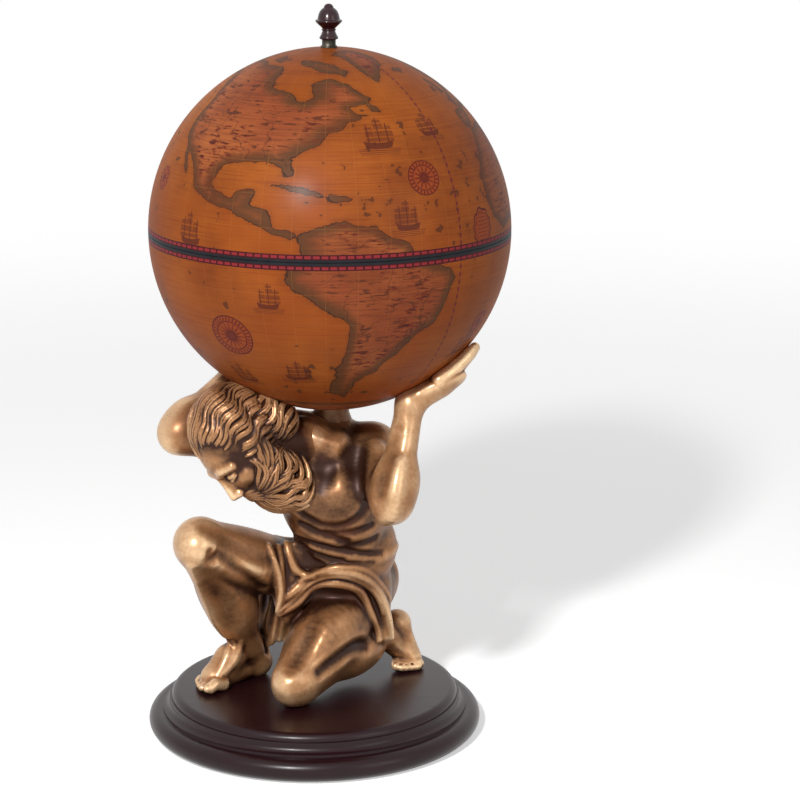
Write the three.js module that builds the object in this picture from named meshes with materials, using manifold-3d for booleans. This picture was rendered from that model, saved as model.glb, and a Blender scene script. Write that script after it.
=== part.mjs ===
// Floor globe bar. A kneeling bearded figure on a turned plinth carries a hollow globe on its
// shoulders. The upper half of the globe is a lid: it opens backwards on a butt hinge, and a brass
// quadrant stay stops it. Inside, a rack with round wells takes bottles and glasses.
// Millimetres, +Z up, origin at the centre of the felt underside, the figure's front to -Y.
import * as THREE from "three";
import { mergeVertices } from "three/addons/utils/BufferGeometryUtils.js";
import Module from "manifold-3d";

const wasm = await Module();
wasm.setup();

// Driving sizes
const globeRadius = 210; // outside of both half shells
const globeOffset = 22.4; // how far the globe's axis stands to the right of the plinth's
const shellWall = 5;
const plinthRadius = 200;
const plinthHeight = 49;
const feltThickness = 3;
const headHeight = 120; // chin to crown: the figure is measured in heads
const fitGap = 0.3; // clearance between pieces that touch
const overrun = 2; // how far a cut runs past the face it goes through
const roundSteps = 36; // facets round the globe and the plinth

// Paint and metal
const finish = (color, roughness, metalness = 0) =>
  new THREE.MeshStandardMaterial({ color, roughness, metalness });
const agedBronze = finish(0x8f683c, 0.35, 0.7);
const mahogany = finish(0x2b1113, 0.3);
const mapPrint = finish(0xb4602a, 0.4);
const blackRim = finish(0x17181b, 0.5);
const brass = finish(0xb08d4a, 0.3, 1);
const steel = finish(0x9a9a9a, 0.35, 1);
const greenFelt = finish(0x1f3a2a, 0.95);
const rackWood = finish(0x6b3a20, 0.45);

// Solids and booleans
const toSolid = (geometry) => {
  const bare = geometry.clone();
  bare.deleteAttribute("normal");
  bare.deleteAttribute("uv");
  const merged = mergeVertices(bare, fitGap / 100);
  const corners = merged.index.array;
  const triVerts = [];
  for (let i = 0; i < corners.length; i += 3) {
    const [a, b, c] = corners.slice(i, i + 3);
    if (a !== b && b !== c && c !== a) triVerts.push(a, b, c);
  }
  return new wasm.Manifold(
    new wasm.Mesh({
      numProp: 3,
      vertProperties: new Float32Array(merged.attributes.position.array),
      triVerts: new Uint32Array(triVerts),
    }),
  );
};

const toGeometry = (solid) => {
  const mesh = solid.getMesh();
  const geometry = new THREE.BufferGeometry();
  geometry.setAttribute("position", new THREE.BufferAttribute(mesh.vertProperties, 3));
  geometry.setIndex(new THREE.BufferAttribute(mesh.triVerts, 1));
  return geometry;
};

const cut = (geometry, ...cutters) =>
  toGeometry(cutters.reduce((solid, cutter) => solid.subtract(toSolid(cutter)), toSolid(geometry)));

const join = (...geometries) =>
  toGeometry(geometries.map(toSolid).reduce((whole, solid) => whole.add(solid)));

// A cast piece after its cuts: chips that a cut leaves loose are knocked off.
const cast = (geometry, ...cutters) => {
  const whole = cut(geometry, ...cutters);
  const corners = whole.index.array;
  const owner = Array.from({ length: whole.attributes.position.count }, (_, i) => i);
  const root = (i) => {
    while (owner[i] !== i) i = owner[i] = owner[owner[i]];
    return i;
  };
  for (let i = 0; i < corners.length; i += 3) {
    owner[root(corners[i])] = root(corners[i + 1]);
    owner[root(corners[i + 1])] = root(corners[i + 2]);
  }
  const pieces = new Map();
  for (let i = 0; i < corners.length; i += 3) {
    const key = root(corners[i]);
    if (!pieces.has(key)) pieces.set(key, []);
    pieces.get(key).push(corners[i], corners[i + 1], corners[i + 2]);
  }
  const [main] = [...pieces.values()].sort((a, b) => b.length - a.length);
  const used = [...new Set(main)];
  const points = used.map((i) => new THREE.Vector3().fromBufferAttribute(whole.attributes.position, i));
  const order = new Map(used.map((i, place) => [i, place]));
  return new THREE.BufferGeometry().setFromPoints(points).setIndex(main.map((i) => order.get(i)));
};

// A piece turned about Z from [radius, height] points that start and end on the axis.
const turned = (profile, steps = roundSteps) => {
  const points = profile.map(([radius, height]) => new THREE.Vector2(radius, height));
  return new THREE.LatheGeometry(points, steps).rotateX(Math.PI / 2);
};

// A turned ring, whose outline closes on itself.
const ring = (profile, steps) => turned([...profile, profile[0]], steps);

// A round bar that stands on height z.
const rod = (radius, length, z, steps = 16) =>
  new THREE.CylinderGeometry(radius, radius, length, steps)
    .rotateX(Math.PI / 2)
    .translate(0, 0, z + length / 2);

const block = (width, depth, height) => new THREE.BoxGeometry(width, depth, height);

// [radius, height] points of an arc about a centre, between two angles above level, in degrees.
const arc = ([radius, height], bend, from, to, steps) =>
  Array.from({ length: steps + 1 }, (_, i) => {
    const angle = THREE.MathUtils.degToRad(from + ((to - from) * i) / steps);
    return [radius + bend * Math.cos(angle), height + bend * Math.sin(angle)];
  });

const globeBar = new THREE.Group();
globeBar.name = "floor_globe_bar";

const add = (name, geometry, material, parent = globeBar) => {
  const mesh = new THREE.Mesh(geometry, material);
  mesh.name = name;
  parent.add(mesh);
  return mesh;
};

// Plinth: a turned disc with an ovolo, a lip, a cove and a heavy bead, on a felt pad
const plinthTop = feltThickness + plinthHeight;
const plinthTopRadius = 163.3;
const ovoloRadius = 9;
const lipStep = 2.7;
const lipHeight = 3.5;
const coveRadius = 8;
const filletHeight = 3.5;
const beadRadius = 13;
const plinthFoot = 7; // the bead is cut back this far at the bottom
const beadEnd = -40; // degrees: where the bead ends, below its middle
const feltInset = 15;

const lipRadius = plinthTopRadius + ovoloRadius + lipStep;
const lipBottom = plinthTop - ovoloRadius - lipHeight;
const coveBottom = lipBottom - coveRadius;
const beadCentre = [plinthRadius - beadRadius, coveBottom - filletHeight - beadRadius];
const plinthProfile = [
  [0, plinthTop],
  ...arc([plinthTopRadius, plinthTop - ovoloRadius], ovoloRadius, 90, 0, 2),
  [lipRadius, plinthTop - ovoloRadius],
  ...arc([lipRadius + coveRadius, lipBottom], coveRadius, 180, 270, 2),
  [lipRadius + coveRadius, coveBottom - filletHeight],
  ...arc(beadCentre, beadRadius, 90, beadEnd, 4),
  [plinthRadius - plinthFoot, feltThickness],
  [0, feltThickness],
].reverse();

// Figure: places in heads from the middle of the plinth's top, to the right, back and up
const placeShares = {
  pelvis: [0.22, 0.35, 0.95],
  waist: [0.32, 0.1, 1.42],
  belly: [0.26, -0.06, 1.55],
  ribs: [0.24, -0.12, 2.0],
  rightChest: [-0.02, -0.4, 2.1],
  leftChest: [0.36, -0.42, 2.1],
  girdle: [0.12, -0.02, 2.4],
  nape: [0.08, -0.04, 2.52],
  neck: [-0.02, -0.16, 2.56],
  skull: [-0.7, -0.6, 2.7],
  seat: [0.18, 0.04, 2.62],
  leftHip: [0.48, 0.44, 0.9],
  rightHip: [-0.1, 0.34, 1.02],
  leftShoulder: [0.58, 0.0, 2.42],
  leftElbow: [0.78, -0.88, 2.14],
  leftForearm: [0.86, -0.78, 2.5],
  leftWrist: [0.96, -0.6, 3.06],
  rightShoulder: [-0.42, 0.12, 2.46],
  rightElbow: [-1.3, -0.14, 2.64],
  rightForearm: [-1.12, 0.08, 2.8],
  rightWrist: [-0.78, 0.5, 3.08],
  rightKnee: [-1.08, -0.56, 1.64],
  rightCalfTop: [-1.0, -0.36, 1.5],
  rightCalfEnd: [-0.74, 0.06, 0.6],
  rightAnkle: [-0.7, 0.16, 0.34],
  rightHeel: [-0.6, 0.28, 0.14],
  rightInstep: [-0.86, 0.0, 0.26],
  rightBall: [-1.0, -0.12, 0.1],
  leftKnee: [-0.15, -0.58, 0.24],
  leftCalfTop: [0.1, -0.28, 0.32],
  leftCalfEnd: [0.58, 0.3, 0.36],
  leftAnkle: [0.7, 0.42, 0.36],
  leftHeel: [0.83, 0.6, 0.44],
  leftBall: [0.96, 0.48, 0.1],
  apron: [-0.25, -0.14, 1.1],
  clothSide: [0.62, 0.1, 1.0],
  clothEnd: [0.7, 0.1, 0.48],
  clothBack: [-0.3, 0.42, 0.92],
  clothTail: [-0.4, 0.42, 0.42],
  scruff: [-0.2, -0.06, 2.66],
};

// Forms of each casting: ovals have half sizes, tapers and muscles run between two places.
const trunkShares = {
  blend: 0.14,
  ovals: [
    ["pelvis", [0.55, 0.46, 0.42]],
    ["waist", [0.51, 0.4, 0.5]],
    ["belly", [0.3, 0.26, 0.36]],
    ["ribs", [0.56, 0.44, 0.58]],
    ["rightChest", [0.27, 0.16, 0.22]],
    ["leftChest", [0.27, 0.16, 0.22]],
    ["girdle", [0.6, 0.36, 0.3]],
    ["leftHip", [0.32, 0.34, 0.38]],
    ["rightHip", [0.34, 0.36, 0.36]],
    ["apron", [0.18, 0.12, 0.44]],
    ["scruff", [0.22, 0.2, 0.2]],
  ],
  tapers: [
    ["nape", "seat", 0.34, 0.22],
    ["girdle", "leftShoulder", 0.3, 0.2],
    ["girdle", "rightShoulder", 0.3, 0.2],
    ["nape", "neck", 0.28, 0.24],
    ["clothSide", "clothEnd", 0.12, 0.08],
    ["clothBack", "clothTail", 0.29, 0.22],
  ],
  muscles: [],
};

// Rolled folds of the loincloth: where each one runs, and half its thickness, in heads
const foldShares = [
  {
    route: [[-0.38, -0.28, 0.74], [-0.14, -0.12, 0.92], [0.07, -0.2, 1.06], [0.34, -0.25, 1.07]]
      .concat([[0.53, -0.14, 0.86], [0.62, -0.02, 0.58], [0.66, 0.02, 0.4]]),
    thickness: 0.05,
  },
  {
    route: [[-0.36, -0.26, 0.82], [-0.13, -0.18, 1.05], [0.12, -0.27, 1.21], [0.37, -0.28, 1.24]]
      .concat([[0.6, -0.12, 1.05], [0.74, 0.08, 0.74], [0.76, 0.12, 0.48]]),
    thickness: 0.06,
  },
  {
    route: [[-0.4, -0.24, 1.56], [-0.26, -0.08, 1.48], [-0.12, -0.18, 1.36], [0.08, -0.28, 1.3]]
      .concat([[0.34, -0.31, 1.32], [0.58, -0.16, 1.2], [0.78, 0.15, 1.0], [0.78, 0.42, 0.9]]),
    thickness: 0.06,
  },
  {
    route: [[-0.4, -0.22, 1.52], [-0.38, -0.28, 1.2], [-0.38, -0.3, 0.78]],
    thickness: 0.045,
  },
];

const leftLegShares = {
  blend: 0.08,
  ovals: [["leftHeel", [0.14, 0.15, 0.13]]],
  tapers: [
    ["leftHip", "leftKnee", 0.3, 0.25],
    ["leftKnee", "leftAnkle", 0.23, 0.12],
    ["leftAnkle", "leftBall", 0.13, 0.1],
    ["leftHeel", "leftBall", 0.12, 0.12],
  ],
  muscles: [
    ["leftHip", "leftKnee", 0.36],
    ["leftCalfTop", "leftCalfEnd", 0.27],
  ],
};

const rightLegShares = {
  blend: 0.08,
  ovals: [["rightHeel", [0.15, 0.16, 0.15]]],
  tapers: [
    ["rightHip", "rightKnee", 0.28, 0.26],
    ["rightKnee", "rightAnkle", 0.25, 0.12],
    ["rightAnkle", "rightInstep", 0.13, 0.13],
    ["rightInstep", "rightBall", 0.15, 0.13],
    ["rightHeel", "rightBall", 0.13, 0.13],
  ],
  muscles: [
    ["rightHip", "rightKnee", 0.3],
    ["rightCalfTop", "rightCalfEnd", 0.29],
  ],
};

const leftArmShares = {
  blend: 0.08,
  ovals: [["leftShoulder", [0.29, 0.29, 0.29]]],
  tapers: [
    ["leftShoulder", "leftElbow", 0.25, 0.19],
    ["leftElbow", "leftWrist", 0.18, 0.13],
  ],
  muscles: [["leftElbow", "leftForearm", 0.23]],
};

const rightArmShares = {
  blend: 0.08,
  ovals: [["rightShoulder", [0.28, 0.28, 0.28]]],
  tapers: [
    ["rightShoulder", "rightElbow", 0.25, 0.2],
    ["rightElbow", "rightWrist", 0.19, 0.13],
  ],
  muscles: [["rightElbow", "rightForearm", 0.24]],
};

// The head's own directions, and its forms to the figure's left, forwards and up from the skull
const faceShares = [-0.45, -0.45, -0.77];
const crownShares = [-0.75, -0.15, 0.6];
const skullHalfShares = [0.34, 0.42, 0.4];
const hairShares = { at: [0, -0.08, 0.06], half: [0.41, 0.46, 0.46] };
const headShares = {
  blend: 0.06,
  ovals: [
    [[0, 0, 0], skullHalfShares],
    [hairShares.at, hairShares.half],
    [[0.05, -0.32, -0.1], [0.34, 0.3, 0.34]],
    [[0, 0.12, -0.36], [0.27, 0.29, 0.28]],
    [[0, 0.15, -0.6], [0.29, 0.25, 0.25]],
  ],
  tapers: [
    [[0, 0.38, -0.06], [0, 0.48, -0.26], 0.045, 0.065],
    [[-0.15, 0.33, -0.02], [0.15, 0.33, -0.02], 0.07, 0.07],
  ],
};
const neckShares = { at: [0, -0.12, -0.25], radii: [0.24, 0.27] };

// A hand: half sizes of the palm, then where each finger starts and ends along and across it.
// The tips lie closer together than the knuckles.
const fingersAcrossShares = [-0.15, -0.05, 0.05, 0.15];
const tipsTogetherShare = 0.85;
const handShares = {
  palm: [0.2, 0.29, 0.1],
  palmAlong: 0.33,
  wristRadii: [0.13, 0.1],
  fingers: fingersAcrossShares.map((across) => ({
    from: [0.45, across],
    to: [0.9, across * tipsTogetherShare],
  })),
  thumb: { from: [0.15, 0.14], to: [0.5, 0.3] },
  fingerRadii: [0.085, 0.085, 0.075, 0.055],
};
const leftReachShares = [0.8, 0.27, 0.54];
const rightReachShares = [0.35, 0.79, 0.04];

// Toes: how far across the foot each one lies, its length and its thickness, big toe first
const toeShares = [
  [0.13, 0.2, 0.075],
  [0.04, 0.2, 0.055],
  [-0.03, 0.17, 0.05],
  [-0.1, 0.13, 0.048],
  [-0.16, 0.09, 0.045],
];
const rightToesShares = [-0.72, -0.69, 0];
const leftToesShares = [-0.3, -0.95, 0];
const leftToesTogetherShare = 0.7;

// The globe rests on a saddle block that is bolted to the nape.
const seatHeightShare = 2.76;
const saddleThickness = 16;
const saddleRadius = 21;
const saddleFlare = 3;

const seatHeight = plinthTop + seatHeightShare * headHeight;
const globeCentre = new THREE.Vector3(globeOffset, 0, seatHeight + saddleThickness + globeRadius);

const places = Object.fromEntries(
  Object.entries(placeShares).map(([name, shares]) => [
    name,
    new THREE.Vector3(...shares).multiplyScalar(headHeight).add(new THREE.Vector3(0, 0, plinthTop)),
  ]),
);

const heads = (share) => share * headHeight;

// The wrists lie against the globe, so they follow its size.
const wristDepthShares = { leftWrist: 0.112, rightWrist: 0.155 };
for (const [name, share] of Object.entries(wristDepthShares)) {
  places[name].sub(globeCentre).setLength(globeRadius + heads(share)).add(globeCentre);
}
const direction = (shares) => new THREE.Vector3(...shares).normalize();

// The head's frame: its left, its front and its crown, from the middle of the skull
const faceForward = direction(faceShares);
const headLeft = direction(crownShares).cross(faceForward).normalize();
const headFrame = new THREE.Matrix4()
  .makeBasis(headLeft, faceForward, faceForward.clone().cross(headLeft))
  .setPosition(places.skull);
const onHead = (shares) => new THREE.Vector3(...shares.map(heads)).applyMatrix4(headFrame);

// Forms: each has the distance from a point to its surface, and the box that it fills
const taper = (from, to, fromRadius, toRadius) => {
  const axis = new THREE.Line3(from, to);
  const distance = (point) => {
    const share = axis.closestPointToPointParameter(point, true);
    const nearest = axis.at(share, new THREE.Vector3());
    return point.distanceTo(nearest) - THREE.MathUtils.lerp(fromRadius, toRadius, share);
  };
  const reach = Math.max(fromRadius, toRadius);
  return { distance, box: new THREE.Box3().setFromPoints([from, to]).expandByScalar(reach) };
};

const oval = (half, frame) => {
  const inward = frame.clone().invert();
  const distance = (point) => {
    const scaled = point.clone().applyMatrix4(inward).divide(half);
    const near = scaled.length();
    return (near * (near - 1)) / Math.max(scaled.divide(half).length(), Number.EPSILON);
  };
  return { distance, box: new THREE.Box3(half.clone().negate(), half.clone()).applyMatrix4(frame) };
};

const uprightOval = (at, half) => oval(half, new THREE.Matrix4().setPosition(at));

// A spindle along the line between two places, thickest in the middle
const muscle = (from, to, radius) => {
  const along = to.clone().sub(from);
  const half = new THREE.Vector3(radius, radius, along.length() / 2 + radius / 2);
  const turn = new THREE.Quaternion().setFromUnitVectors(new THREE.Vector3(0, 0, 1), along.normalize());
  const middle = from.clone().lerp(to, 1 / 2);
  return oval(half, new THREE.Matrix4().compose(middle, turn, new THREE.Vector3(1, 1, 1)));
};

// A soft union lets neighbouring forms flow together.
const softUnion = (distances, blend) =>
  distances.reduce((a, b) => {
    const overlap = Math.max(blend - Math.abs(a - b), 0) / blend;
    return Math.min(a, b) - (overlap * overlap * blend) / 4;
  });

// Turns forms into a closed mesh: one vertex in each grid cell that the surface crosses, one quad
// across each grid edge that it crosses, and each vertex then drawn onto the surface.
const sculpt = (forms, blend, cell) => {
  const field = (point) => softUnion(forms.map((form) => form.distance(point)), blend);
  const box = forms.reduce((whole, form) => whole.union(form.box), new THREE.Box3());
  box.expandByScalar(2 * cell);
  const counts = box.getSize(new THREE.Vector3()).divideScalar(cell).ceil().toArray();
  const corner = (x, y, z) => new THREE.Vector3(x, y, z).multiplyScalar(cell).add(box.min);
  const slot = (x, y, z) => (z * counts[1] + y) * counts[0] + x;
  const eachCorner = (visit) => {
    for (let z = 0; z < counts[2]; z++) {
      for (let y = 0; y < counts[1]; y++) {
        for (let x = 0; x < counts[0]; x++) visit(x, y, z);
      }
    }
  };
  const values = new Float32Array(counts[0] * counts[1] * counts[2]);
  eachCorner((x, y, z) => {
    values[slot(x, y, z)] = field(corner(x, y, z));
  });

  // Where two forms meet only at a grid edge, the nook beside it is filled, so the skin stays whole.
  const steps = [[1, 0, 0], [0, 1, 0], [0, 0, 1]];
  const fillNook = (x, y, z, axis) => {
    const [u, v] = [steps[axis], steps[(axis + 1) % 3]];
    if (x + u[0] + v[0] >= counts[0] || y + u[1] + v[1] >= counts[1] || z + u[2] + v[2] >= counts[2]) return;
    const square = [[0, 0], [1, 0], [1, 1], [0, 1]].map(([a, b]) =>
      slot(x + a * u[0] + b * v[0], y + a * u[1] + b * v[1], z + a * u[2] + b * v[2]),
    );
    const [p, q, r, s] = square.map((i) => values[i] < 0);
    if (p !== r || q !== s || p === q) return;
    const nook = square.filter((i) => values[i] >= 0).sort((a, b) => values[a] - values[b])[0];
    values[nook] = -cell / 10;
  };
  for (let pass = 0; pass < 3; pass++) {
    eachCorner((x, y, z) => [0, 1, 2].forEach((axis) => fillNook(x, y, z, axis)));
  }

  const cells = new Map();
  const quads = [];
  const crossEdge = (x, y, z, axis) => {
    const [dx, dy, dz] = steps[axis];
    if (x + dx >= counts[0] || y + dy >= counts[1] || z + dz >= counts[2]) return;
    const here = values[slot(x, y, z)];
    const there = values[slot(x + dx, y + dy, z + dz)];
    if (here < 0 === there < 0) return;
    const crossing = corner(x, y, z).lerp(corner(x + dx, y + dy, z + dz), here / (here - there));
    const [u, v] = [steps[(axis + 1) % 3], steps[(axis + 2) % 3]];
    const around = [[0, 0], [1, 0], [1, 1], [0, 1]].map(([a, b]) =>
      slot(x - a * u[0] - b * v[0], y - a * u[1] - b * v[1], z - a * u[2] - b * v[2]),
    );
    for (const key of around) {
      if (!cells.has(key)) cells.set(key, { point: new THREE.Vector3(), count: 0 });
      cells.get(key).point.add(crossing);
      cells.get(key).count += 1;
    }
    quads.push(here < 0 ? around : around.reverse());
  };
  eachCorner((x, y, z) => [0, 1, 2].forEach((axis) => crossEdge(x, y, z, axis)));

  const nudge = cell / 100;
  const slope = (point) => {
    const along = (step) => {
      const offset = new THREE.Vector3(...step).multiplyScalar(nudge);
      return (field(point.clone().add(offset)) - field(point.clone().sub(offset))) / (2 * nudge);
    };
    return new THREE.Vector3(...steps.map(along));
  };
  const points = [];
  for (const spot of cells.values()) {
    spot.point.divideScalar(spot.count);
    for (let pass = 0; pass < 2; pass++) {
      const lean = slope(spot.point);
      const move = -field(spot.point) / Math.max(lean.lengthSq(), 1 / 4);
      spot.point.addScaledVector(lean, THREE.MathUtils.clamp(move, -cell / 3, cell / 3));
    }
    spot.order = points.push(spot.point) - 1;
  }
  const faces = quads.flatMap((quad) => {
    const [a, b, c, d] = quad.map((key) => cells.get(key).order);
    const shortAcross = points[a].distanceTo(points[c]) < points[b].distanceTo(points[d]);
    return shortAcross ? [a, b, c, a, c, d] : [a, b, d, b, c, d];
  });
  return new THREE.BufferGeometry().setFromPoints(points).setIndex(faces);
};

// A closed strand along a row of points: an oval ring at each, flattened towards one middle point
const strand = (points, radii, sides, middle, flatness = 1) => {
  const curve = new THREE.CatmullRomCurve3(points);
  const last = points.length - 1;
  const vertices = points.flatMap((point, i) => {
    const along = curve.getTangent(i / last);
    const side = along.clone().cross(point.clone().sub(middle)).normalize();
    const out = along.clone().cross(side);
    return Array.from({ length: sides }, (_, s) => {
      const turn = (2 * Math.PI * s) / sides;
      return point
        .clone()
        .addScaledVector(side, Math.cos(turn) * radii[i])
        .addScaledVector(out, Math.sin(turn) * radii[i] * flatness);
    });
  });
  const start = vertices.push(points[0].clone().addScaledVector(curve.getTangent(0), -radii[0] / 2)) - 1;
  const end = vertices.push(points[last].clone().addScaledVector(curve.getTangent(1), radii[last] / 2)) - 1;
  const faces = [];
  for (let s = 0; s < sides; s++) {
    const next = (s + 1) % sides;
    faces.push(start, next, s, end, last * sides + s, last * sides + next);
    for (let r = 0; r < last; r++) {
      const [a, b] = [r * sides + s, r * sides + next];
      faces.push(a, b, a + sides, b, b + sides, a + sides);
    }
  }
  return new THREE.BufferGeometry().setFromPoints(vertices).setIndex(faces);
};

// A skin outside a form: each corner moves far enough to take its facets one fit gap out.
const leastLean = 1 / 4;
const grown = (geometry) => {
  const skin = mergeVertices(geometry.clone(), fitGap / 100);
  skin.computeVertexNormals();
  const { position, normal } = skin.attributes;
  const corners = Array.from({ length: position.count }, (_, i) => ({
    place: new THREE.Vector3().fromBufferAttribute(position, i),
    out: new THREE.Vector3().fromBufferAttribute(normal, i),
    lean: 1,
  }));
  for (let i = 0; i < skin.index.count; i += 3) {
    const facet = [0, 1, 2].map((k) => corners[skin.index.getX(i + k)]);
    const facing = new THREE.Triangle(...facet.map(({ place }) => place)).getNormal(new THREE.Vector3());
    for (const corner of facet) corner.lean = Math.min(corner.lean, corner.out.dot(facing));
  }
  corners.forEach(({ place, out, lean }, i) => {
    place.addScaledVector(out, fitGap / Math.max(lean, leastLean));
    position.setXYZ(i, ...place.toArray());
  });
  return skin;
};

// A casting, and the skin round it that its neighbours are cut with
const casting = (shares, forms, cell, details) => {
  const parts = [sculpt(forms, heads(shares.blend), cell), ...details];
  return { solid: join(...parts), skin: join(...parts.map(grown)) };
};

const formsOf = ({ ovals, tapers, muscles = [] }) => [
  ...ovals.map(([at, half]) => uprightOval(places[at], new THREE.Vector3(...half.map(heads)))),
  ...tapers.map(([from, to, a, b]) => taper(places[from], places[to], heads(a), heads(b))),
  ...muscles.map(([from, to, radius]) => muscle(places[from], places[to], heads(radius))),
];

// The globe's underside, a fit gap larger, cuts all that it rests on or touches.
const dipSteps = 9; // facets from the equator to the pole
const underside = (radius, from = 0) =>
  arc([0, 0], radius, -90, from, dipSteps).map(([r, z]) => [Math.max(r, 0), z]);
const globeCutter = turned([...underside(globeRadius + fitGap), [0, 0]]).translate(
  ...globeCentre.toArray(),
);

const floorCutter = block(4 * plinthRadius, 4 * plinthRadius, 2 * plinthTop);

// Grid size of each casting's facets
const cellShares = { trunk: 0.175, leg: 0.167, arm: 0.142, head: 0.167 };

// Trunk: chest, belly and hips, with the rolled folds of the loincloth, and a flat seat at the nape
const foldSides = 5;
const fold = ({ route, thickness }) => {
  const points = route.map(([x, y, z]) => new THREE.Vector3(heads(x), heads(y), heads(z) + plinthTop));
  const radii = points.map((_, i) => heads(thickness) * (i === 0 || i === points.length - 1 ? 2 / 3 : 1));
  return strand(points, radii, foldSides, places.pelvis);
};
const saddleSteps = 16;
const seatCutter = rod(
  saddleRadius + 2 * saddleFlare,
  2 * saddleThickness,
  seatHeight,
  saddleSteps,
).translate(globeOffset, 0, 0);
const trunk = casting(trunkShares, formsOf(trunkShares), heads(cellShares.trunk), foldShares.map(fold));

const fingerSides = 4;

// Hand: a flat palm on the globe's skin, with four fingers and a thumb
const hand = (wrist, reachShares, thumbSide) => {
  const out = wrist.clone().sub(globeCentre).normalize();
  const reach = direction(reachShares).projectOnPlane(out).normalize();
  const across = out.clone().cross(reach);
  const onSkin = ([along, aside], depth) => {
    const point = wrist.clone().addScaledVector(reach, heads(along)).addScaledVector(across, heads(aside));
    return point.sub(globeCentre).setLength(globeRadius + depth).add(globeCentre);
  };
  const [width, length, thickness] = handShares.palm.map(heads);
  const palmMiddle = onSkin([handShares.palmAlong, 0], thickness);
  const palmFrame = new THREE.Matrix4().makeBasis(across, reach, out).setPosition(palmMiddle);
  const finger = ({ from, to }) => {
    const middles = [0, 1 / 3, 2 / 3, 1];
    const points = middles.map((t, i) => {
      const along = THREE.MathUtils.lerp(from[0], to[0], t);
      const aside = thumbSide * THREE.MathUtils.lerp(from[1], to[1], t);
      return onSkin([along, aside], heads(handShares.fingerRadii[i]));
    });
    return strand(points, handShares.fingerRadii.map(heads), fingerSides, globeCentre);
  };
  return {
    palm: oval(new THREE.Vector3(width, length, thickness), palmFrame),
    wristToPalm: taper(wrist, palmMiddle, ...handShares.wristRadii.map(heads)),
    fingers: [...handShares.fingers, handShares.thumb].map(finger),
  };
};

const arm = (shares, { palm, wristToPalm, fingers }) =>
  casting(shares, [...formsOf(shares), palm, wristToPalm], heads(cellShares.arm), fingers);
const leftArm = arm(leftArmShares, hand(places.leftWrist, leftReachShares, -1));
const rightArm = arm(rightArmShares, hand(places.rightWrist, rightReachShares, 1));

// Head: skull, hair, jaw, beard and nose, with locks swept back from the brow and a curled beard
const hairAt = (fromFront, fromCrown) => {
  const [side, front, up] = hairShares.half;
  const [cx, cy, cz] = hairShares.at;
  const ring = Math.sin(fromFront);
  return onHead([
    cx + side * ring * Math.sin(fromCrown),
    cy + front * Math.cos(fromFront),
    cz + up * ring * Math.cos(fromCrown),
  ]);
};
const lockCount = 12;
const lockSides = 4;
const lockSpread = THREE.MathUtils.degToRad(230);
const hairlineTop = THREE.MathUtils.degToRad(22); // from straight ahead, above the brow
const hairlineSide = THREE.MathUtils.degToRad(36); // further back beside the temples
const lockEnd = THREE.MathUtils.degToRad(150);
const lockWave = THREE.MathUtils.degToRad(4);
const wavesPerLock = 1.5;
const lockShares = [0.035, 0.065, 0.07, 0.07, 0.04];
const hairLocks = Array.from({ length: lockCount }, (_, i) => {
  const fromCrown = lockSpread * (i / (lockCount - 1) - 1 / 2);
  const hairline = hairlineTop + hairlineSide * Math.abs(Math.sin(fromCrown));
  const points = lockShares.map((_, k) => {
    const t = k / (lockShares.length - 1);
    const wave = lockWave * Math.sin(2 * Math.PI * (t * wavesPerLock + i / 3));
    return hairAt(THREE.MathUtils.lerp(hairline, lockEnd, t), fromCrown + wave);
  });
  return strand(points, lockShares.map(heads), lockSides, places.skull);
});
const beardCount = 7;
const beardSpread = THREE.MathUtils.degToRad(150);
const beardShares = [0.03, 0.06, 0.06, 0.025];
const beardRiseShare = 0.67; // the outer locks end higher
const beardMiddleShares = [0, 0, -0.4];
const beardRowShares = [
  { front: 0.38, drop: -0.36, spread: 0.12 },
  { front: 0.39, drop: -0.54, spread: 0.24 },
  { front: 0.3, drop: -0.75, spread: 0.32 },
  { front: 0.22, drop: -0.91, spread: 0.26 },
];
const beardLocks = Array.from({ length: beardCount }, (_, i) => {
  const fan = beardSpread * (i / (beardCount - 1) - 1 / 2);
  const lift = 1 - Math.cos(fan);
  const points = beardRowShares.map(({ front, drop, spread }) =>
    onHead([spread * Math.sin(fan), front - lift * spread, drop + lift * spread * beardRiseShare]),
  );
  return strand(points, beardShares.map(heads), lockSides, onHead(beardMiddleShares));
});
const headForms = [
  ...headShares.ovals.map(([at, half]) =>
    oval(new THREE.Vector3(...half.map(heads)), headFrame.clone().setPosition(onHead(at))),
  ),
  ...headShares.tapers.map(([from, to, a, b]) => taper(onHead(from), onHead(to), heads(a), heads(b))),
  taper(onHead(neckShares.at), places.neck, ...neckShares.radii.map(heads)),
];
const head = casting(headShares, headForms, heads(cellShares.head), [...hairLocks, ...beardLocks]);

// Legs: each stands on the plinth and is cut where the trunk's cloth lies over it
const toes = (ball, forwardShares, bigToeSide, together = 1) => {
  const forward = direction(forwardShares);
  const across = new THREE.Vector3(0, 0, 1).cross(forward).multiplyScalar(bigToeSide);
  return toeShares.map(([aside, length, thickness]) => {
    const root = ball.clone().addScaledVector(across, heads(aside) * together);
    const along = [0, 1 / 2, 1].map((t) =>
      root.clone().addScaledVector(forward, heads(length) * t).setZ(plinthTop + heads(thickness)),
    );
    const radii = [1, 1, 2 / 3].map((share) => share * heads(thickness));
    return strand(along, radii, fingerSides, ball.clone().setZ(0));
  });
};
const leftToes = toes(places.leftBall, leftToesShares, -1, leftToesTogetherShare);
const rightToes = toes(places.rightBall, rightToesShares, 1);
const leg = (shares, feet) => casting(shares, formsOf(shares), heads(cellShares.leg), feet);
const leftLeg = leg(leftLegShares, leftToes);
const rightLeg = leg(rightLegShares, rightToes);

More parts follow.
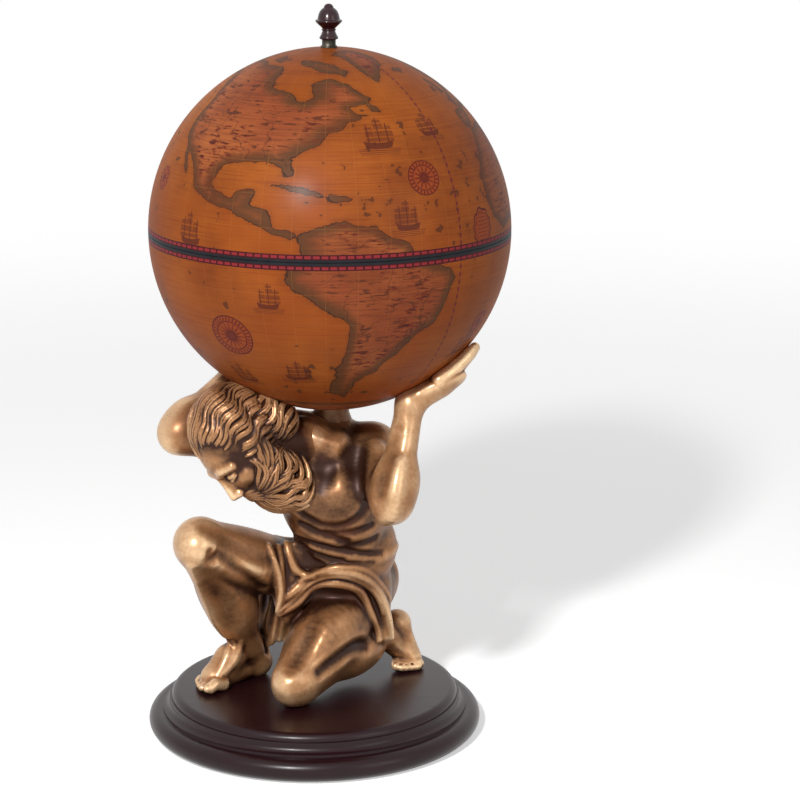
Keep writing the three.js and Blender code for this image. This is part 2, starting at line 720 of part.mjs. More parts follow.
// Plinth screws: up from the counterbores in its underside into the knee and the standing foot
const screwSteps = 6;
const screw = ({ shank, length, head, crown }) =>
  turned(
    [
      [0, -length],
      [shank, shank - length],
      [shank, 0],
      [head, 0],
      [head, crown / 2],
      [head / 2, crown],
      [0, crown],
    ],
    screwSteps,
  );
const screwCutter = ({ shank, length }) =>
  rod(shank + fitGap, length + fitGap + overrun, -length - fitGap, screwSteps);

const counterboreDepth = 8;
const baseScrewGrip = 14; // how deep each screw reaches into the figure
const baseScrew = {
  shank: 2.5,
  length: plinthHeight - counterboreDepth + baseScrewGrip,
  head: 5,
  crown: 3.5,
};
const baseScrews = [places.leftKnee, places.rightInstep, places.rightHeel].map((place) =>
  place.clone().setZ(feltThickness + counterboreDepth),
);
const baseScrewCutters = baseScrews.map((position) =>
  join(
    screwCutter(baseScrew),
    rod(baseScrew.head + fitGap, counterboreDepth + overrun, 0, screwSteps),
  )
    .rotateX(Math.PI)
    .translate(...position.toArray()),
);

// Globe frame: origin at the globe's centre, which is level with the joint between its halves
const globe = new THREE.Group();
globe.position.copy(globeCentre);
globeBar.add(globe);

// Half shells, each with a black rim
const rimHeight = 3.1;
const rimWidth = 14;
const seamGap = 0.4;
const innerRadius = globeRadius - shellWall;
const shellEdge = (radius) => [Math.sqrt(radius ** 2 - rimHeight ** 2), -rimHeight];
const halfShell = [
  ...underside(globeRadius).slice(0, -1),
  shellEdge(globeRadius),
  shellEdge(innerRadius),
  ...underside(innerRadius).slice(0, -1).reverse(),
];
const flipped = (geometry) => geometry.rotateX(Math.PI);
const rimRing = () =>
  ring([
    [globeRadius - rimWidth, -rimHeight],
    [globeRadius, -rimHeight],
    [globeRadius, -seamGap / 2],
    [globeRadius - rimWidth, -seamGap / 2],
  ]);

// Bolt through the bottom of the globe and the saddle into the nape
const boltRadius = 4;
const boltGrip = 18; // how deep the bolt reaches into the nape
const boltHeadRadius = 7.5;
const boltHeadHeight = 5.3;
const boltSteps = 8;
const washerRadius = 12;
const washerThickness = 2;
const clearHole = (radius) => radius + fitGap;

// What is fitted inside follows the facets of the shell's inner wall: its radius at a height, and
// its height at a radius.
const innerWall = underside(innerRadius);
const onWall = (given, wanted) => (value) => {
  const i = Math.max(innerWall.findIndex((point) => point[given] >= value), 1);
  const [from, to] = [innerWall[i - 1], innerWall[i]];
  return THREE.MathUtils.mapLinear(value, from[given], to[given], from[wanted], to[wanted]);
};
const wallRadius = onWall(1, 0);
const wallLevel = onWall(0, 1);
const wallGap = 2 * fitGap; // room beside the sloping wall
const washer = (hole, radius, bottom) =>
  ring(
    [
      [clearHole(hole), bottom],
      [radius, bottom],
      [radius, bottom + washerThickness],
      [clearHole(hole), bottom + washerThickness],
    ],
    boltSteps,
  );
const washerBottom = wallLevel(washerRadius) + wallGap;
const boltSeat = washerBottom + washerThickness;
const boltEnd = -globeRadius - saddleThickness - boltGrip;
const boltHole = rod(clearHole(boltRadius), boltSeat - boltEnd + fitGap, boltEnd - fitGap, boltSteps);
const boltCutter = boltHole.clone().translate(...globeCentre.toArray());
const bolt = join(
  rod(boltRadius, boltSeat - boltEnd + boltHeadHeight / 2, boltEnd, boltSteps),
  rod(boltHeadRadius, boltHeadHeight, boltSeat, 6),
);

// Rack: a round plate just below the rim, with wells for bottles in the middle and glasses round
// them. It lies on a glued ledge, and the bottles stand on a floor deep in the lower half.
const rackDrop = 5.5;
const rackThickness = 6;
const ledgeWidth = 14;
const ledgeHeight = 12;
const bottleWellShares = { radius: 0.22125, reach: 0.295 }; // of the rack's radius
const bottleWellCount = 3;
const bottleWellSteps = 16;
const glassWellShares = { radius: 0.1475, reach: 0.7375 };
const glassWellCount = 7;
const glassWellSteps = 12;
const bottleFloorLift = 40; // above the bottom of the shell's inside
const bottleFloorThickness = 5;

const rackTop = -rackDrop;
const rackBottom = rackTop - rackThickness;
const ledgeBottom = rackBottom - ledgeHeight;
const rackRadius = wallRadius(rackBottom) - wallGap;
const rackBlank = rod(rackRadius, rackThickness, rackBottom, roundSteps);
const wellAt = (shares, turn, steps) =>
  rod(rackRadius * shares.radius, rackThickness + 2 * overrun, rackBottom - overrun, steps).translate(
    rackRadius * shares.reach * Math.cos(turn),
    rackRadius * shares.reach * Math.sin(turn),
    0,
  );
const front = -Math.PI / 2;
const wells = [
  ...Array.from({ length: bottleWellCount }, (_, i) =>
    wellAt(bottleWellShares, front + (2 * Math.PI * i) / bottleWellCount, bottleWellSteps),
  ),
  ...Array.from({ length: glassWellCount }, (_, i) => {
    const place = i - (glassWellCount - 1) / 2; // the one place left free is at the hinge
    return wellAt(glassWellShares, front + (2 * Math.PI * place) / (glassWellCount + 1), glassWellSteps);
  }),
];
const ledgeProfile = [
  [rackRadius - ledgeWidth, ledgeBottom],
  [wallRadius(ledgeBottom) - wallGap, ledgeBottom],
  [rackRadius, rackBottom],
  [rackRadius - ledgeWidth, rackBottom],
];
const bottleFloorTop = bottleFloorLift - innerRadius;
const bottleFloorBottom = bottleFloorTop - bottleFloorThickness;
const bottleFloorProfile = [
  [0, bottleFloorBottom],
  [wallRadius(bottleFloorBottom) - wallGap, bottleFloorBottom],
  [wallRadius(bottleFloorTop) - wallGap, bottleFloorTop],
  [0, bottleFloorTop],
];

// Hinge: two leaves screwed to the back of the shells, with three knuckles on one pin
const hingeWidth = 60;
const leafHeight = 15;
const leafThickness = 1.5;
const knuckleRadius = 2.8;
const pinRadius = 1.4;
const knuckleCount = 3;
const knuckleSteps = 8;
const leafScrewSpacing = 40;
const hingeY = globeRadius + fitGap + knuckleRadius;
const alongX = (geometry) => geometry.rotateY(Math.PI / 2);
const leaf = (side) => {
  const pitch = hingeWidth / knuckleCount;
  const first = side > 0 ? 1 : 0; // the lid's leaf has the middle knuckle
  const own = Array.from({ length: knuckleCount }, (_, i) => i).filter((i) => i % 2 === first);
  const plateHeight = leafHeight - knuckleRadius - fitGap;
  const plate = block(hingeWidth, leafThickness, plateHeight).translate(
    0,
    globeRadius + fitGap + leafThickness / 2,
    side * (leafHeight - plateHeight / 2),
  );
  const knuckles = own.flatMap((i) => {
    const x = (i + 1 / 2) * pitch - hingeWidth / 2;
    const length = pitch - fitGap;
    const web = block(length, leafThickness, leafHeight / 2);
    return [
      alongX(rod(knuckleRadius, length, -length / 2, knuckleSteps)).translate(x, hingeY, 0),
      web.translate(x, globeRadius + fitGap + leafThickness / 2, (side * leafHeight) / 4),
    ];
  });
  const boreLength = hingeWidth + 2 * overrun;
  const bore = alongX(rod(clearHole(pinRadius), boreLength, -boreLength / 2, knuckleSteps));
  return cut(join(plate, ...knuckles), bore.translate(0, hingeY, 0), ...leafScrewCutters(side));
};
const pin = alongX(rod(pinRadius, hingeWidth, -hingeWidth / 2, knuckleSteps)).translate(0, hingeY, 0);

const smallScrew = { shank: 1.2, length: 4.5, head: 2.4, crown: 1.4 };
const leafScrewSize = { ...smallScrew, length: leafThickness + (4 / 5) * shellWall };
const leafScrews = [-leafScrewSpacing / 2, leafScrewSpacing / 2];
const onLeaf = (geometry, x, side) =>
  geometry
    .rotateX(-Math.PI / 2)
    .translate(x, globeRadius + fitGap + leafThickness, (side * (leafHeight + knuckleRadius)) / 2);
const leafScrew = (x, side) => onLeaf(screw(leafScrewSize), x, side);
const leafScrewCutters = (side) => leafScrews.map((x) => onLeaf(screwCutter(leafScrewSize), x, side));

// Quadrant stay: a brass arc about the hinge pin, hung from the lid's rim, that slides through a
// slot in the guide plate on the rack until the nib at its end meets the plate.
const openAngle = 65;
const stayRadius = 75;
const stayWidth = 8;
const stayThickness = 2.5;
const nibDepth = 4;
const nibAngle = 1.6;
const stayFootWidth = 20;
const stayFootDepth = 7;
const stayArm = 10;
const guideWidth = 30;
const guideDepth = 24;
const guideThickness = 1.5;
const stayScrewSpacing = 12;

const stayScrews = [-stayScrewSpacing / 2, stayScrewSpacing / 2];
const stayFootY = innerRadius * Math.cos(Math.PI / roundSteps) - wallGap - stayFootDepth / 2 - fitGap;
const guideTop = rackTop + guideThickness;
const guideY = hingeY - stayRadius;
const stayInner = stayRadius - stayWidth / 2;
const stayOuter = stayRadius + stayWidth / 2;
const guideAngle = THREE.MathUtils.radToDeg(Math.asin((rackDrop + fitGap) / (stayInner - nibDepth)));
const stayEnd = -(openAngle + guideAngle + nibAngle);
// Arc outlines lie in the plane through the hinge's middle: x towards the front, y up.
const sector = (inner, outer, from, to) => {
  const [a, b] = [from, to].map(THREE.MathUtils.degToRad);
  const shape = new THREE.Shape();
  shape.absarc(0, 0, outer, a, b, false);
  shape.absarc(0, 0, inner, b, a, true);
  return shape;
};
const inStayPlane = (shape, steps) =>
  new THREE.ExtrudeGeometry(shape, { depth: stayThickness, bevelEnabled: false, curveSegments: steps })
    .translate(0, 0, -stayThickness / 2)
    .applyMatrix4(
      new THREE.Matrix4().makeBasis(
        new THREE.Vector3(0, -1, 0),
        new THREE.Vector3(0, 0, 1),
        new THREE.Vector3(-1, 0, 0),
      ),
    )
    .translate(0, hingeY, 0);
const stayTop = rimHeight + stayThickness;
const stayScrewCutters = stayScrews.map((x) => screwCutter(smallScrew).translate(x, stayFootY, stayTop));
const stayArmAngle = THREE.MathUtils.radToDeg(Math.asin((stayTop + stayArm) / stayInner));
const stayArmReach = stayFootY - guideY;
const stay = cut(
  join(
    inStayPlane(sector(stayInner, stayOuter, stayEnd, stayArmAngle), 12),
    inStayPlane(sector(stayInner - nibDepth, stayOuter + nibDepth, stayEnd, stayEnd + nibAngle), 1),
    block(stayThickness, stayArmReach, stayArm + stayThickness).translate(
      0,
      guideY + stayArmReach / 2,
      stayTop + (stayArm - stayThickness) / 2,
    ),
    block(stayFootWidth, stayFootDepth, stayThickness).translate(
      0,
      stayFootY,
      stayTop - stayThickness / 2,
    ),
  ),
  ...stayScrewCutters,
);
const slotWidth = stayThickness + 2 * fitGap;
const guideScrews = [-guideWidth / 2 + guideDepth / 6, guideWidth / 2 - guideDepth / 6];
const guideScrewCutters = guideScrews.map((x) => screwCutter(smallScrew).translate(x, guideY, guideTop));
const guide = cut(
  block(guideWidth, guideDepth, guideThickness).translate(0, guideY, rackTop + guideThickness / 2),
  block(slotWidth, stayWidth + 4 * fitGap, guideThickness + 2 * overrun).translate(0, guideY, rackTop),
  ...guideScrewCutters,
);
const staySlot = block(
  slotWidth + 2 * overrun,
  stayWidth + 2 * nibDepth + 2 * overrun,
  rackThickness + 2 * overrun,
).translate(0, guideY, (rackTop + rackBottom) / 2);

// Finial: a turned acorn on a metal collar, drawn down by a stud with a nut inside the lid
const finialSteps = 14;
const finialHeight = 40.2;
const finialRadius = 15.9;
const collarHeight = 9.3;
const collarRadius = 9.6;
const collarTopRadius = 8.1;
const studRadius = 2.5;
const studGrip = 14; // how deep the stud reaches into the finial
const nutHeight = 4;
const nutRadius = 4.6;
const finialShares = [
  [0.72, 0], [0.72, 0.03], [0.55, 0.12], [0.5, 0.2], [0.56, 0.25], [0.5, 0.29], [0.82, 0.45],
  [1, 0.49], [1, 0.52], [0.89, 0.55], [0.8, 0.72], [0.38, 0.86], [0.43, 0.91], [0.34, 0.97],
  [0, 1],
];
const collarProfile = [
  [clearHole(studRadius), fitGap],
  [collarRadius, fitGap],
  [collarTopRadius, collarHeight],
  [clearHole(studRadius), collarHeight],
];
const finialProfile = [
  [0, collarHeight + studGrip + fitGap],
  [clearHole(studRadius), collarHeight + studGrip + fitGap],
  [clearHole(studRadius), collarHeight],
  ...finialShares.map(([r, h]) => [r * finialRadius, collarHeight + h * finialHeight]),
];
const studWasherTop = -wallLevel(2 * studRadius) - fitGap;
const studWasherBottom = studWasherTop - washerThickness;
const studNutBottom = studWasherBottom - nutHeight;
const studBottom = studNutBottom - nutHeight / 2;
const studTop = globeRadius + collarHeight + studGrip;
const studSteps = 8;
const studHole = rod(clearHole(studRadius), studTop - studBottom, studBottom, studSteps);
const stud = rod(studRadius, studTop - studBottom, studBottom, studSteps);
const studNut = cut(rod(nutRadius, nutHeight, studNutBottom, 6), studHole);

// Castings are glued at their seams: each is cut by the skin of the one that it meets.
add("figure_trunk", cast(trunk.solid, globeCutter, seatCutter, boltCutter), agedBronze);
add("figure_head", cast(head.solid, trunk.skin, rightArm.skin, globeCutter), agedBronze);
add("figure_left_leg", cast(leftLeg.solid, trunk.skin, floorCutter, ...baseScrewCutters), agedBronze);
add("figure_right_leg", cast(rightLeg.solid, trunk.skin, floorCutter, ...baseScrewCutters), agedBronze);
add("figure_left_arm", cast(leftArm.solid, trunk.skin, globeCutter), agedBronze);
add("figure_right_arm", cast(rightArm.solid, trunk.skin, globeCutter), agedBronze);
const saddleProfile = [
  [clearHole(boltRadius), 0],
  [saddleRadius + saddleFlare, 0],
  [saddleRadius, saddleThickness / 2],
  [saddleRadius, 2 * saddleThickness],
  [clearHole(boltRadius), 2 * saddleThickness],
];
add(
  "globe_saddle",
  cut(ring(saddleProfile, saddleSteps).translate(globeOffset, 0, seatHeight), globeCutter),
  agedBronze,
);

add("plinth", cut(turned(plinthProfile), ...baseScrewCutters), mahogany);
add("plinth_felt", rod(plinthRadius - feltInset, feltThickness, 0, roundSteps), greenFelt);
baseScrews.forEach((position, i) => {
  const fastener = screw(baseScrew).rotateX(Math.PI).translate(...position.toArray());
  add(`base_screw_${i + 1}`, fastener, steel);
});

// Lower half: shell and rim, with the rack and the bottle floor inside
add("lower_shell", cut(turned(halfShell), boltHole, ...leafScrewCutters(-1)), mapPrint, globe);
add("lower_rim", rimRing(), blackRim, globe);
add("globe_bolt", bolt, steel, globe);
add("globe_washer", washer(boltRadius, washerRadius, washerBottom), steel, globe);

add("rack_ledge", ring(ledgeProfile), rackWood, globe);
add("rack_plate", cut(rackBlank, ...wells, staySlot, ...guideScrewCutters), rackWood, globe);
add("bottle_floor", turned(bottleFloorProfile), rackWood, globe);

add("hinge_leaf_lower", leaf(-1), brass, globe);
add("hinge_pin", pin, brass, globe);
add("stay_guide", guide, brass, globe);
guideScrews.forEach((x, i) => {
  const fastener = screw(smallScrew).translate(x, guideY, guideTop);
  add(`stay_guide_screw_${i + 1}`, fastener, brass, globe);
});
leafScrews.forEach((x, i) => {
  add(`hinge_screw_lower_${i + 1}`, leafScrew(x, -1), brass, globe);
});

// Lid: shell and rim, the stay, and the turned finial on its stud
add("lid_shell", cut(flipped(turned(halfShell)), studHole, ...leafScrewCutters(1)), mapPrint, globe);
add("lid_rim", cut(flipped(rimRing()), ...stayScrewCutters), blackRim, globe);
add("hinge_leaf_lid", leaf(1), brass, globe);
leafScrews.forEach((x, i) => {
  add(`hinge_screw_lid_${i + 1}`, leafScrew(x, 1), brass, globe);
});
add("quadrant_stay", stay, brass, globe);
stayScrews.forEach((x, i) => {
  const fastener = screw(smallScrew).translate(x, stayFootY, rimHeight + stayThickness);
  add(`stay_screw_${i + 1}`, fastener, brass, globe);
});
add("finial_collar", ring(collarProfile, finialSteps).translate(0, 0, globeRadius), steel, globe);
add("finial", turned(finialProfile, finialSteps).translate(0, 0, globeRadius), mahogany, globe);
add("finial_stud", stud, steel, globe);
add("finial_washer", washer(studRadius, 2 * studRadius, studWasherBottom), steel, globe);
add("finial_nut", studNut, steel, globe);

export default globeBar;
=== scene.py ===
import math

import bmesh
import bpy
import numpy as np
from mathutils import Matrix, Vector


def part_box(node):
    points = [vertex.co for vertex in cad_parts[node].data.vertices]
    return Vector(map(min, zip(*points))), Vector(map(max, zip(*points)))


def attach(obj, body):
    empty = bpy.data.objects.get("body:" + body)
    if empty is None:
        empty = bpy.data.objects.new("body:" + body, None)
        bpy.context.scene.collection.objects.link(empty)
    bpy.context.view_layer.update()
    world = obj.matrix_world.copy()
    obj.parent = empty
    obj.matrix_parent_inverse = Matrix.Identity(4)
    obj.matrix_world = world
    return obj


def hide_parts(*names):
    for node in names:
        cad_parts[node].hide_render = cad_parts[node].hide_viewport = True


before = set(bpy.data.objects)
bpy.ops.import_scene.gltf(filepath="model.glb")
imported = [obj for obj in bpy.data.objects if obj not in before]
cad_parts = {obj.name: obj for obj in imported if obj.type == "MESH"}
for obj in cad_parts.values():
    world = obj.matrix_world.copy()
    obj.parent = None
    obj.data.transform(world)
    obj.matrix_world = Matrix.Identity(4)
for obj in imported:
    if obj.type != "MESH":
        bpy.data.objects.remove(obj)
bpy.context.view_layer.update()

import openvdb
from mathutils import Vector

# Camera: stands nearly 3 m in front of the bar and a little to its right, higher than the finial,
# and looks down at the middle of it. The picture is 800 pixels square.
picture_size = 800
focal_pixels = 2596.2
camera_pitch = math.radians(13.93)
camera_x, camera_y, camera_rise = 0.1034, -2.9677, 1.0891  # the rise is counted from the plinth's top
plinth_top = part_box("plinth")[1][2]
camera_data = bpy.data.cameras.new("camera")
camera_data.sensor_width = 36
camera_data.lens = focal_pixels / picture_size * camera_data.sensor_width
camera = bpy.data.objects.new("camera", camera_data)
camera.location = (camera_x, camera_y, plinth_top + camera_rise)
camera.rotation_euler = (math.pi / 2 - camera_pitch, 0, 0)
bpy.context.scene.collection.objects.link(camera)
bpy.context.scene.camera = camera
bpy.context.scene.view_settings.view_transform = "Standard"


# Floor: a wide white studio floor, which keeps the bar's soft shadow. The lamps and the pale
# surroundings light the bar from the front left, as in the studio.
def adds(operation):
    """A method of Wire that adds one Math node."""
    return lambda wire, *others: wire.math(operation, *others)


class Wire:
    """One shader value. Sums, products and comparisons of wires add their own Math nodes."""

    def __init__(self, paint, socket):
        self.paint = paint
        self.socket = socket

    def math(self, operation, *others):
        sockets = dict(enumerate((self, *others)))
        return self.paint.node("Math", sockets, operation=operation)

    __add__ = __radd__ = adds("ADD")
    __sub__ = adds("SUBTRACT")
    __mul__ = __rmul__ = adds("MULTIPLY")
    __truediv__ = adds("DIVIDE")
    __pow__ = adds("POWER")
    __mod__ = adds("FLOORED_MODULO")
    __lt__ = adds("LESS_THAN")
    __gt__ = adds("GREATER_THAN")
    __abs__ = adds("ABSOLUTE")
    least = adds("MINIMUM")
    most = adds("MAXIMUM")

    def __rsub__(self, other):
        return self.paint.node("Math", {0: other, 1: self}, operation="SUBTRACT")

    def ramp(self, low, high):
        """0 below low, 1 above high, with a smooth step between them."""
        sockets = {"Value": self, "From Min": low, "From Max": high}
        return self.paint.node("MapRange", sockets, interpolation_type="SMOOTHSTEP")


class Nodes:
    """The nodes of a material or of the world."""

    def __init__(self, tree):
        self.tree = tree

    def node(self, kind, sockets=(), output=0, **settings):
        """Adds one node: its settings first, then the values or wires of its sockets."""
        made = self.tree.nodes.new("ShaderNode" + kind)
        for name, value in settings.items():
            setattr(made, name, value)
        for name, value in dict(sockets).items():
            if isinstance(value, Wire):
                self.tree.links.new(value.socket, made.inputs[name])
            else:
                made.inputs[name].default_value = value
        return Wire(self, made.outputs[output])

    def backdrop_rays(self):
        """1 for the rays that show the backdrop: straight, mirrored or refracted; else 0."""
        seen = self.node("LightPath", output="Is Camera Ray")
        for ray in ("Is Glossy Ray", "Is Transmission Ray"):
            seen = seen.most(self.node("LightPath", output=ray))
        return seen

    def show(self, shader, output):
        self.tree.links.new(shader.socket, self.tree.nodes[output].inputs[0])


class Paint(Nodes):
    """A material with its shader and whatever nodes feed it."""

    def __init__(self, name, **constants):
        self.material = bpy.data.materials.new(name)
        self.material.use_nodes = True
        super().__init__(self.material.node_tree)
        self.shader = self.tree.nodes["Principled BSDF"]
        for socket, value in constants.items():
            self.shader.inputs[socket.replace("_", " ")].default_value = value

    def feed(self, **wires):
        for name, wire in wires.items():
            self.tree.links.new(wire.socket, self.shader.inputs[name.replace("_", " ")])

    def colour_mix(self, share, first, second):
        return self.node("Mix", {0: share, 6: first, 7: second}, 2, data_type="RGBA")

    def place(self):
        return self.node("TexCoord", output="Object")

    def noise(self, scale, detail=3, place=None, roughness=0.5):
        sockets = {"Scale": scale, "Detail": detail, "Roughness": roughness}
        sockets["Vector"] = place or self.place()
        return self.node("TexNoise", sockets)

    def split(self, vector):
        made = self.node("SeparateXYZ", {0: vector})
        outputs = made.socket.node.outputs
        return [Wire(self, outputs[axis]) for axis in "XYZ"]

    def distance(self, point):
        """How far the place lies from a point."""
        sockets = {0: self.place(), 1: tuple(point)}
        return self.node("VectorMath", sockets, 1, operation="DISTANCE")

    def stretched(self, x, y, z):
        """The place, with each axis scaled, for grain and streaks."""
        return self.node("Mapping", {"Vector": self.place(), "Scale": (x, y, z)})

    def bump(self, height, strength, depth):
        sockets = {"Height": height, "Strength": strength, "Distance": depth}
        self.feed(Normal=self.node("Bump", sockets))


def srgb(red, green, blue):
    """A shader colour from the 0 to 255 values of a paint chip."""
    parts = [value / 255 for value in (red, green, blue)]
    linear = [p / 12.92 if p <= 0.04045 else ((p + 0.055) / 1.055) ** 2.4 for p in parts]
    return (*linear, 1)


def new_mesh(name, vertices, faces):
    mesh = bpy.data.meshes.new(name)
    mesh.from_pydata([tuple(v) for v in vertices], [], [tuple(f) for f in faces])
    mesh.validate()
    mesh.shade_smooth()
    piece = bpy.data.objects.new(name, mesh)
    bpy.context.scene.collection.objects.link(piece)
    return piece


floor_reach = 20
floor_corners = [(-floor_reach, -floor_reach, 0), (floor_reach, -floor_reach, 0)]
floor_corners += [(floor_reach, floor_reach, 0), (-floor_reach, floor_reach, 0)]
floor = new_mesh("studio_floor", floor_corners, [(0, 1, 2, 3)])
floor_paint = Paint("studio_floor", Roughness=0.9)
seen = floor_paint.backdrop_rays()
grey_below, pale_in_view = (0.5, 0.5, 0.5, 1), (0.95, 0.95, 0.95, 1)
floor_paint.feed(Base_Color=floor_paint.colour_mix(seen, grey_below, pale_in_view))
shadow_reach, horizon_reach = 1.0, 3.6  # metres: the floor turns to plain white between them
far_off = floor_paint.distance((0, 0, 0)).ramp(shadow_reach, horizon_reach)
near_glow = 0.5
glow = seen * (near_glow + far_off * (1 - near_glow))
shine = floor_paint.node("Emission", {"Color": glow, "Strength": 1})
unlit = floor_paint.node("Emission", {"Strength": 0})
matt = Wire(floor_paint, floor_paint.shader.outputs[0])
matt = floor_paint.node("MixShader", {0: seen * far_off, 1: matt, 2: unlit})
floor_paint.show(floor_paint.node("AddShader", {0: matt, 1: shine}), "Material Output")
floor.data.materials.append(floor_paint.material)

surroundings = bpy.data.worlds.new("surroundings")
surroundings.use_nodes = True
sky = Nodes(surroundings.node_tree)
sky.tree.nodes.remove(sky.tree.nodes["Background"])
white = (1, 1, 1, 1)
dim_light = sky.node("Background", {"Color": white, "Strength": 0.18})
backdrop = sky.node("Background", {"Color": white, "Strength": 1})
sky.show(sky.node("MixShader", {0: sky.backdrop_rays(), 1: dim_light, 2: backdrop}), "World Output")
bpy.context.scene.world = surroundings


def soft_lamp(name, at, aim, width, height, power):
    lamp_data = bpy.data.lights.new(name, "AREA")
    lamp_data.shape = "RECTANGLE"
    lamp_data.size = width
    lamp_data.size_y = height
    lamp_data.energy = power
    lamp = bpy.data.objects.new(name, lamp_data)
    lamp.location = at
    lamp.rotation_euler = (Vector(aim) - Vector(at)).to_track_quat("-Z", "Y").to_euler()
    bpy.context.scene.collection.objects.link(lamp)


bar_middle = (0, 0, 0.45)
soft_lamp("key_lamp", (-0.8, -2.6, 2.25), bar_middle, width=0.28, height=0.28, power=90)
soft_lamp("fill_lamp", (2.4, -2.2, 1.4), bar_middle, width=1.4, height=1.8, power=12)


# Plinth: a turned disc of wood with an ovolo, a lip, a cove and a heavy bead, stained dark
# mahogany and lacquered to a satin gloss.
def arc(centre, bend, first, last, steps):
    """[radius, height] points of an arc, between two angles above level in degrees."""
    turns = np.radians(np.linspace(first, last, steps + 1))
    return [(centre[0] + bend * math.cos(t), centre[1] + bend * math.sin(t)) for t in turns]


sharp_edge = math.radians(35)


def turn(name, profile, steps=192, centre=(0, 0), closed=False):
    """A turned piece from [radius, height] points. The points run with the wood on their right."""
    vertices, faces = [], []
    for radius, height in profile:
        for i in range(steps):
            angle = 2 * math.pi * i / steps
            x, y = radius * math.cos(angle), radius * math.sin(angle)
            vertices.append((centre[0] + x, centre[1] + y, height))
    rows = len(profile)
    for row in range(rows if closed else rows - 1):
        here, above = row * steps, (row + 1) % rows * steps
        for i in range(steps):
            beside = (i + 1) % steps
            faces.append((here + i, here + beside, above + beside, above + i))
    piece = new_mesh(name, vertices, faces)
    tidy = bmesh.new()
    tidy.from_mesh(piece.data)
    bmesh.ops.remove_doubles(tidy, verts=tidy.verts, dist=1e-6)
    bmesh.ops.recalc_face_normals(tidy, faces=tidy.faces)
    tidy.to_mesh(piece.data)
    tidy.free()
    piece.data.set_sharp_from_angle(angle=sharp_edge)
    return piece


def softened(profile, bevel):
    """The profile with its corners rounded by a small bevel."""
    nearly_straight = math.radians(165)
    rounded = [profile[0]]
    for before, corner, after in zip(profile, profile[1:], profile[2:]):
        corner_point, near, far = Vector(corner), Vector(before), Vector(after)
        into, out = near - corner_point, far - corner_point
        if min(into.length, out.length) < 2 * bevel or into.angle(out, math.pi) > nearly_straight:
            rounded.append(corner)
            continue
        start = corner_point + into.normalized() * bevel
        end = corner_point + out.normalized() * bevel
        middle = (start + end) / 4 + corner_point / 2
        rounded += [tuple(start), tuple(middle), tuple(end)]
    return [*rounded, profile[-1]]


def finished(piece, body, slot, paint, *nodes):
    """Gives a piece its paint, and makes it ride on a body in place of CAD nodes."""
    piece.data.materials.clear()
    piece.data.materials.append(paint.material)
    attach(piece, body)
    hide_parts(*nodes)


def wood_paint(name, dark, pale, roughness, grain_axis, coat, ring_scale=1.0):
    """Lacquered wood, whose grain runs along one axis."""
    paint = Paint(name, Coat_Weight=coat, Coat_Roughness=0.12, Specular_IOR_Level=0.28)
    stretch = [90 * ring_scale] * 3
    stretch[grain_axis] = 5 * ring_scale
    grain = paint.noise(1, 5, paint.stretched(*stretch), 0.62)
    pores = paint.noise(3.4, 3, paint.stretched(*stretch), 0.7).ramp(0.55, 0.72)
    cloud = paint.noise(7, 2)
    colour = paint.colour_mix(grain * 0.8 + cloud * 0.2, dark, pale)
    colour = paint.colour_mix(pores * 0.35, colour, tuple(0.35 * c for c in dark[:3]) + (1,))
    paint.feed(Base_Color=colour, Roughness=roughness + grain * 0.08 + pores * 0.06)
    paint.bump(grain + pores * 0.5, 0.12, 0.0006)
    return paint


plinth_low, plinth_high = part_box("plinth")
plinth_radius = plinth_high[1]
plinth_top_radius = 0.1633
ovolo = 0.009
lip_step, lip_height = 0.0027, 0.0035
cove = 0.008
fillet = 0.0035
bead = 0.013
lip_radius = plinth_top_radius + ovolo + lip_step
lip_bottom = plinth_top - ovolo - lip_height
cove_bottom = lip_bottom - cove
bead_centre = (plinth_radius - bead, cove_bottom - fillet - bead)
plinth_foot = 0.007
plinth_profile = [
    (0, plinth_top),
    *arc((plinth_top_radius, plinth_top - ovolo), ovolo, 90, 0, 12),
    (lip_radius, plinth_top - ovolo),
    *arc((lip_radius + cove, lip_bottom), cove, 180, 270, 12),
    (lip_radius + cove, cove_bottom - fillet),
    *arc(bead_centre, bead, 90, -40, 24),
    (plinth_radius - plinth_foot, plinth_low[2]),
    (0, plinth_low[2]),
]
mahogany = wood_paint("dark_mahogany", srgb(18, 5, 9), srgb(44, 13, 19), 0.27, 0, coat=0.03)
plinth_bevel = 0.0008
plinth = turn("turned_plinth", softened(plinth_profile, plinth_bevel), steps=256)
finished(plinth, "root", "dark_mahogany", mahogany, "plinth")

# Felt: a pad of green wool felt, glued under the plinth and set in from its edge. The bar stands
# on it.
felt_low, felt_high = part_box("plinth_felt")
felt_paint = Paint("base_felt", Roughness=0.95, Sheen_Weight=0.4)
felt_fluff = felt_paint.noise(900, 4)
felt_paint.feed(Base_Color=felt_paint.colour_mix(felt_fluff, srgb(20, 44, 32), srgb(44, 78, 58)))
felt_paint.bump(felt_fluff, 0.5, 0.0004)
felt_radius = felt_high[1]
felt_profile = [(0, felt_high[2]), (felt_radius, felt_high[2])]
felt_profile += [(felt_radius, felt_low[2]), (0, felt_low[2])]
felt = turn("felt_pad", felt_profile)
finished(felt, "root", "base_felt", felt_paint, "plinth_felt")

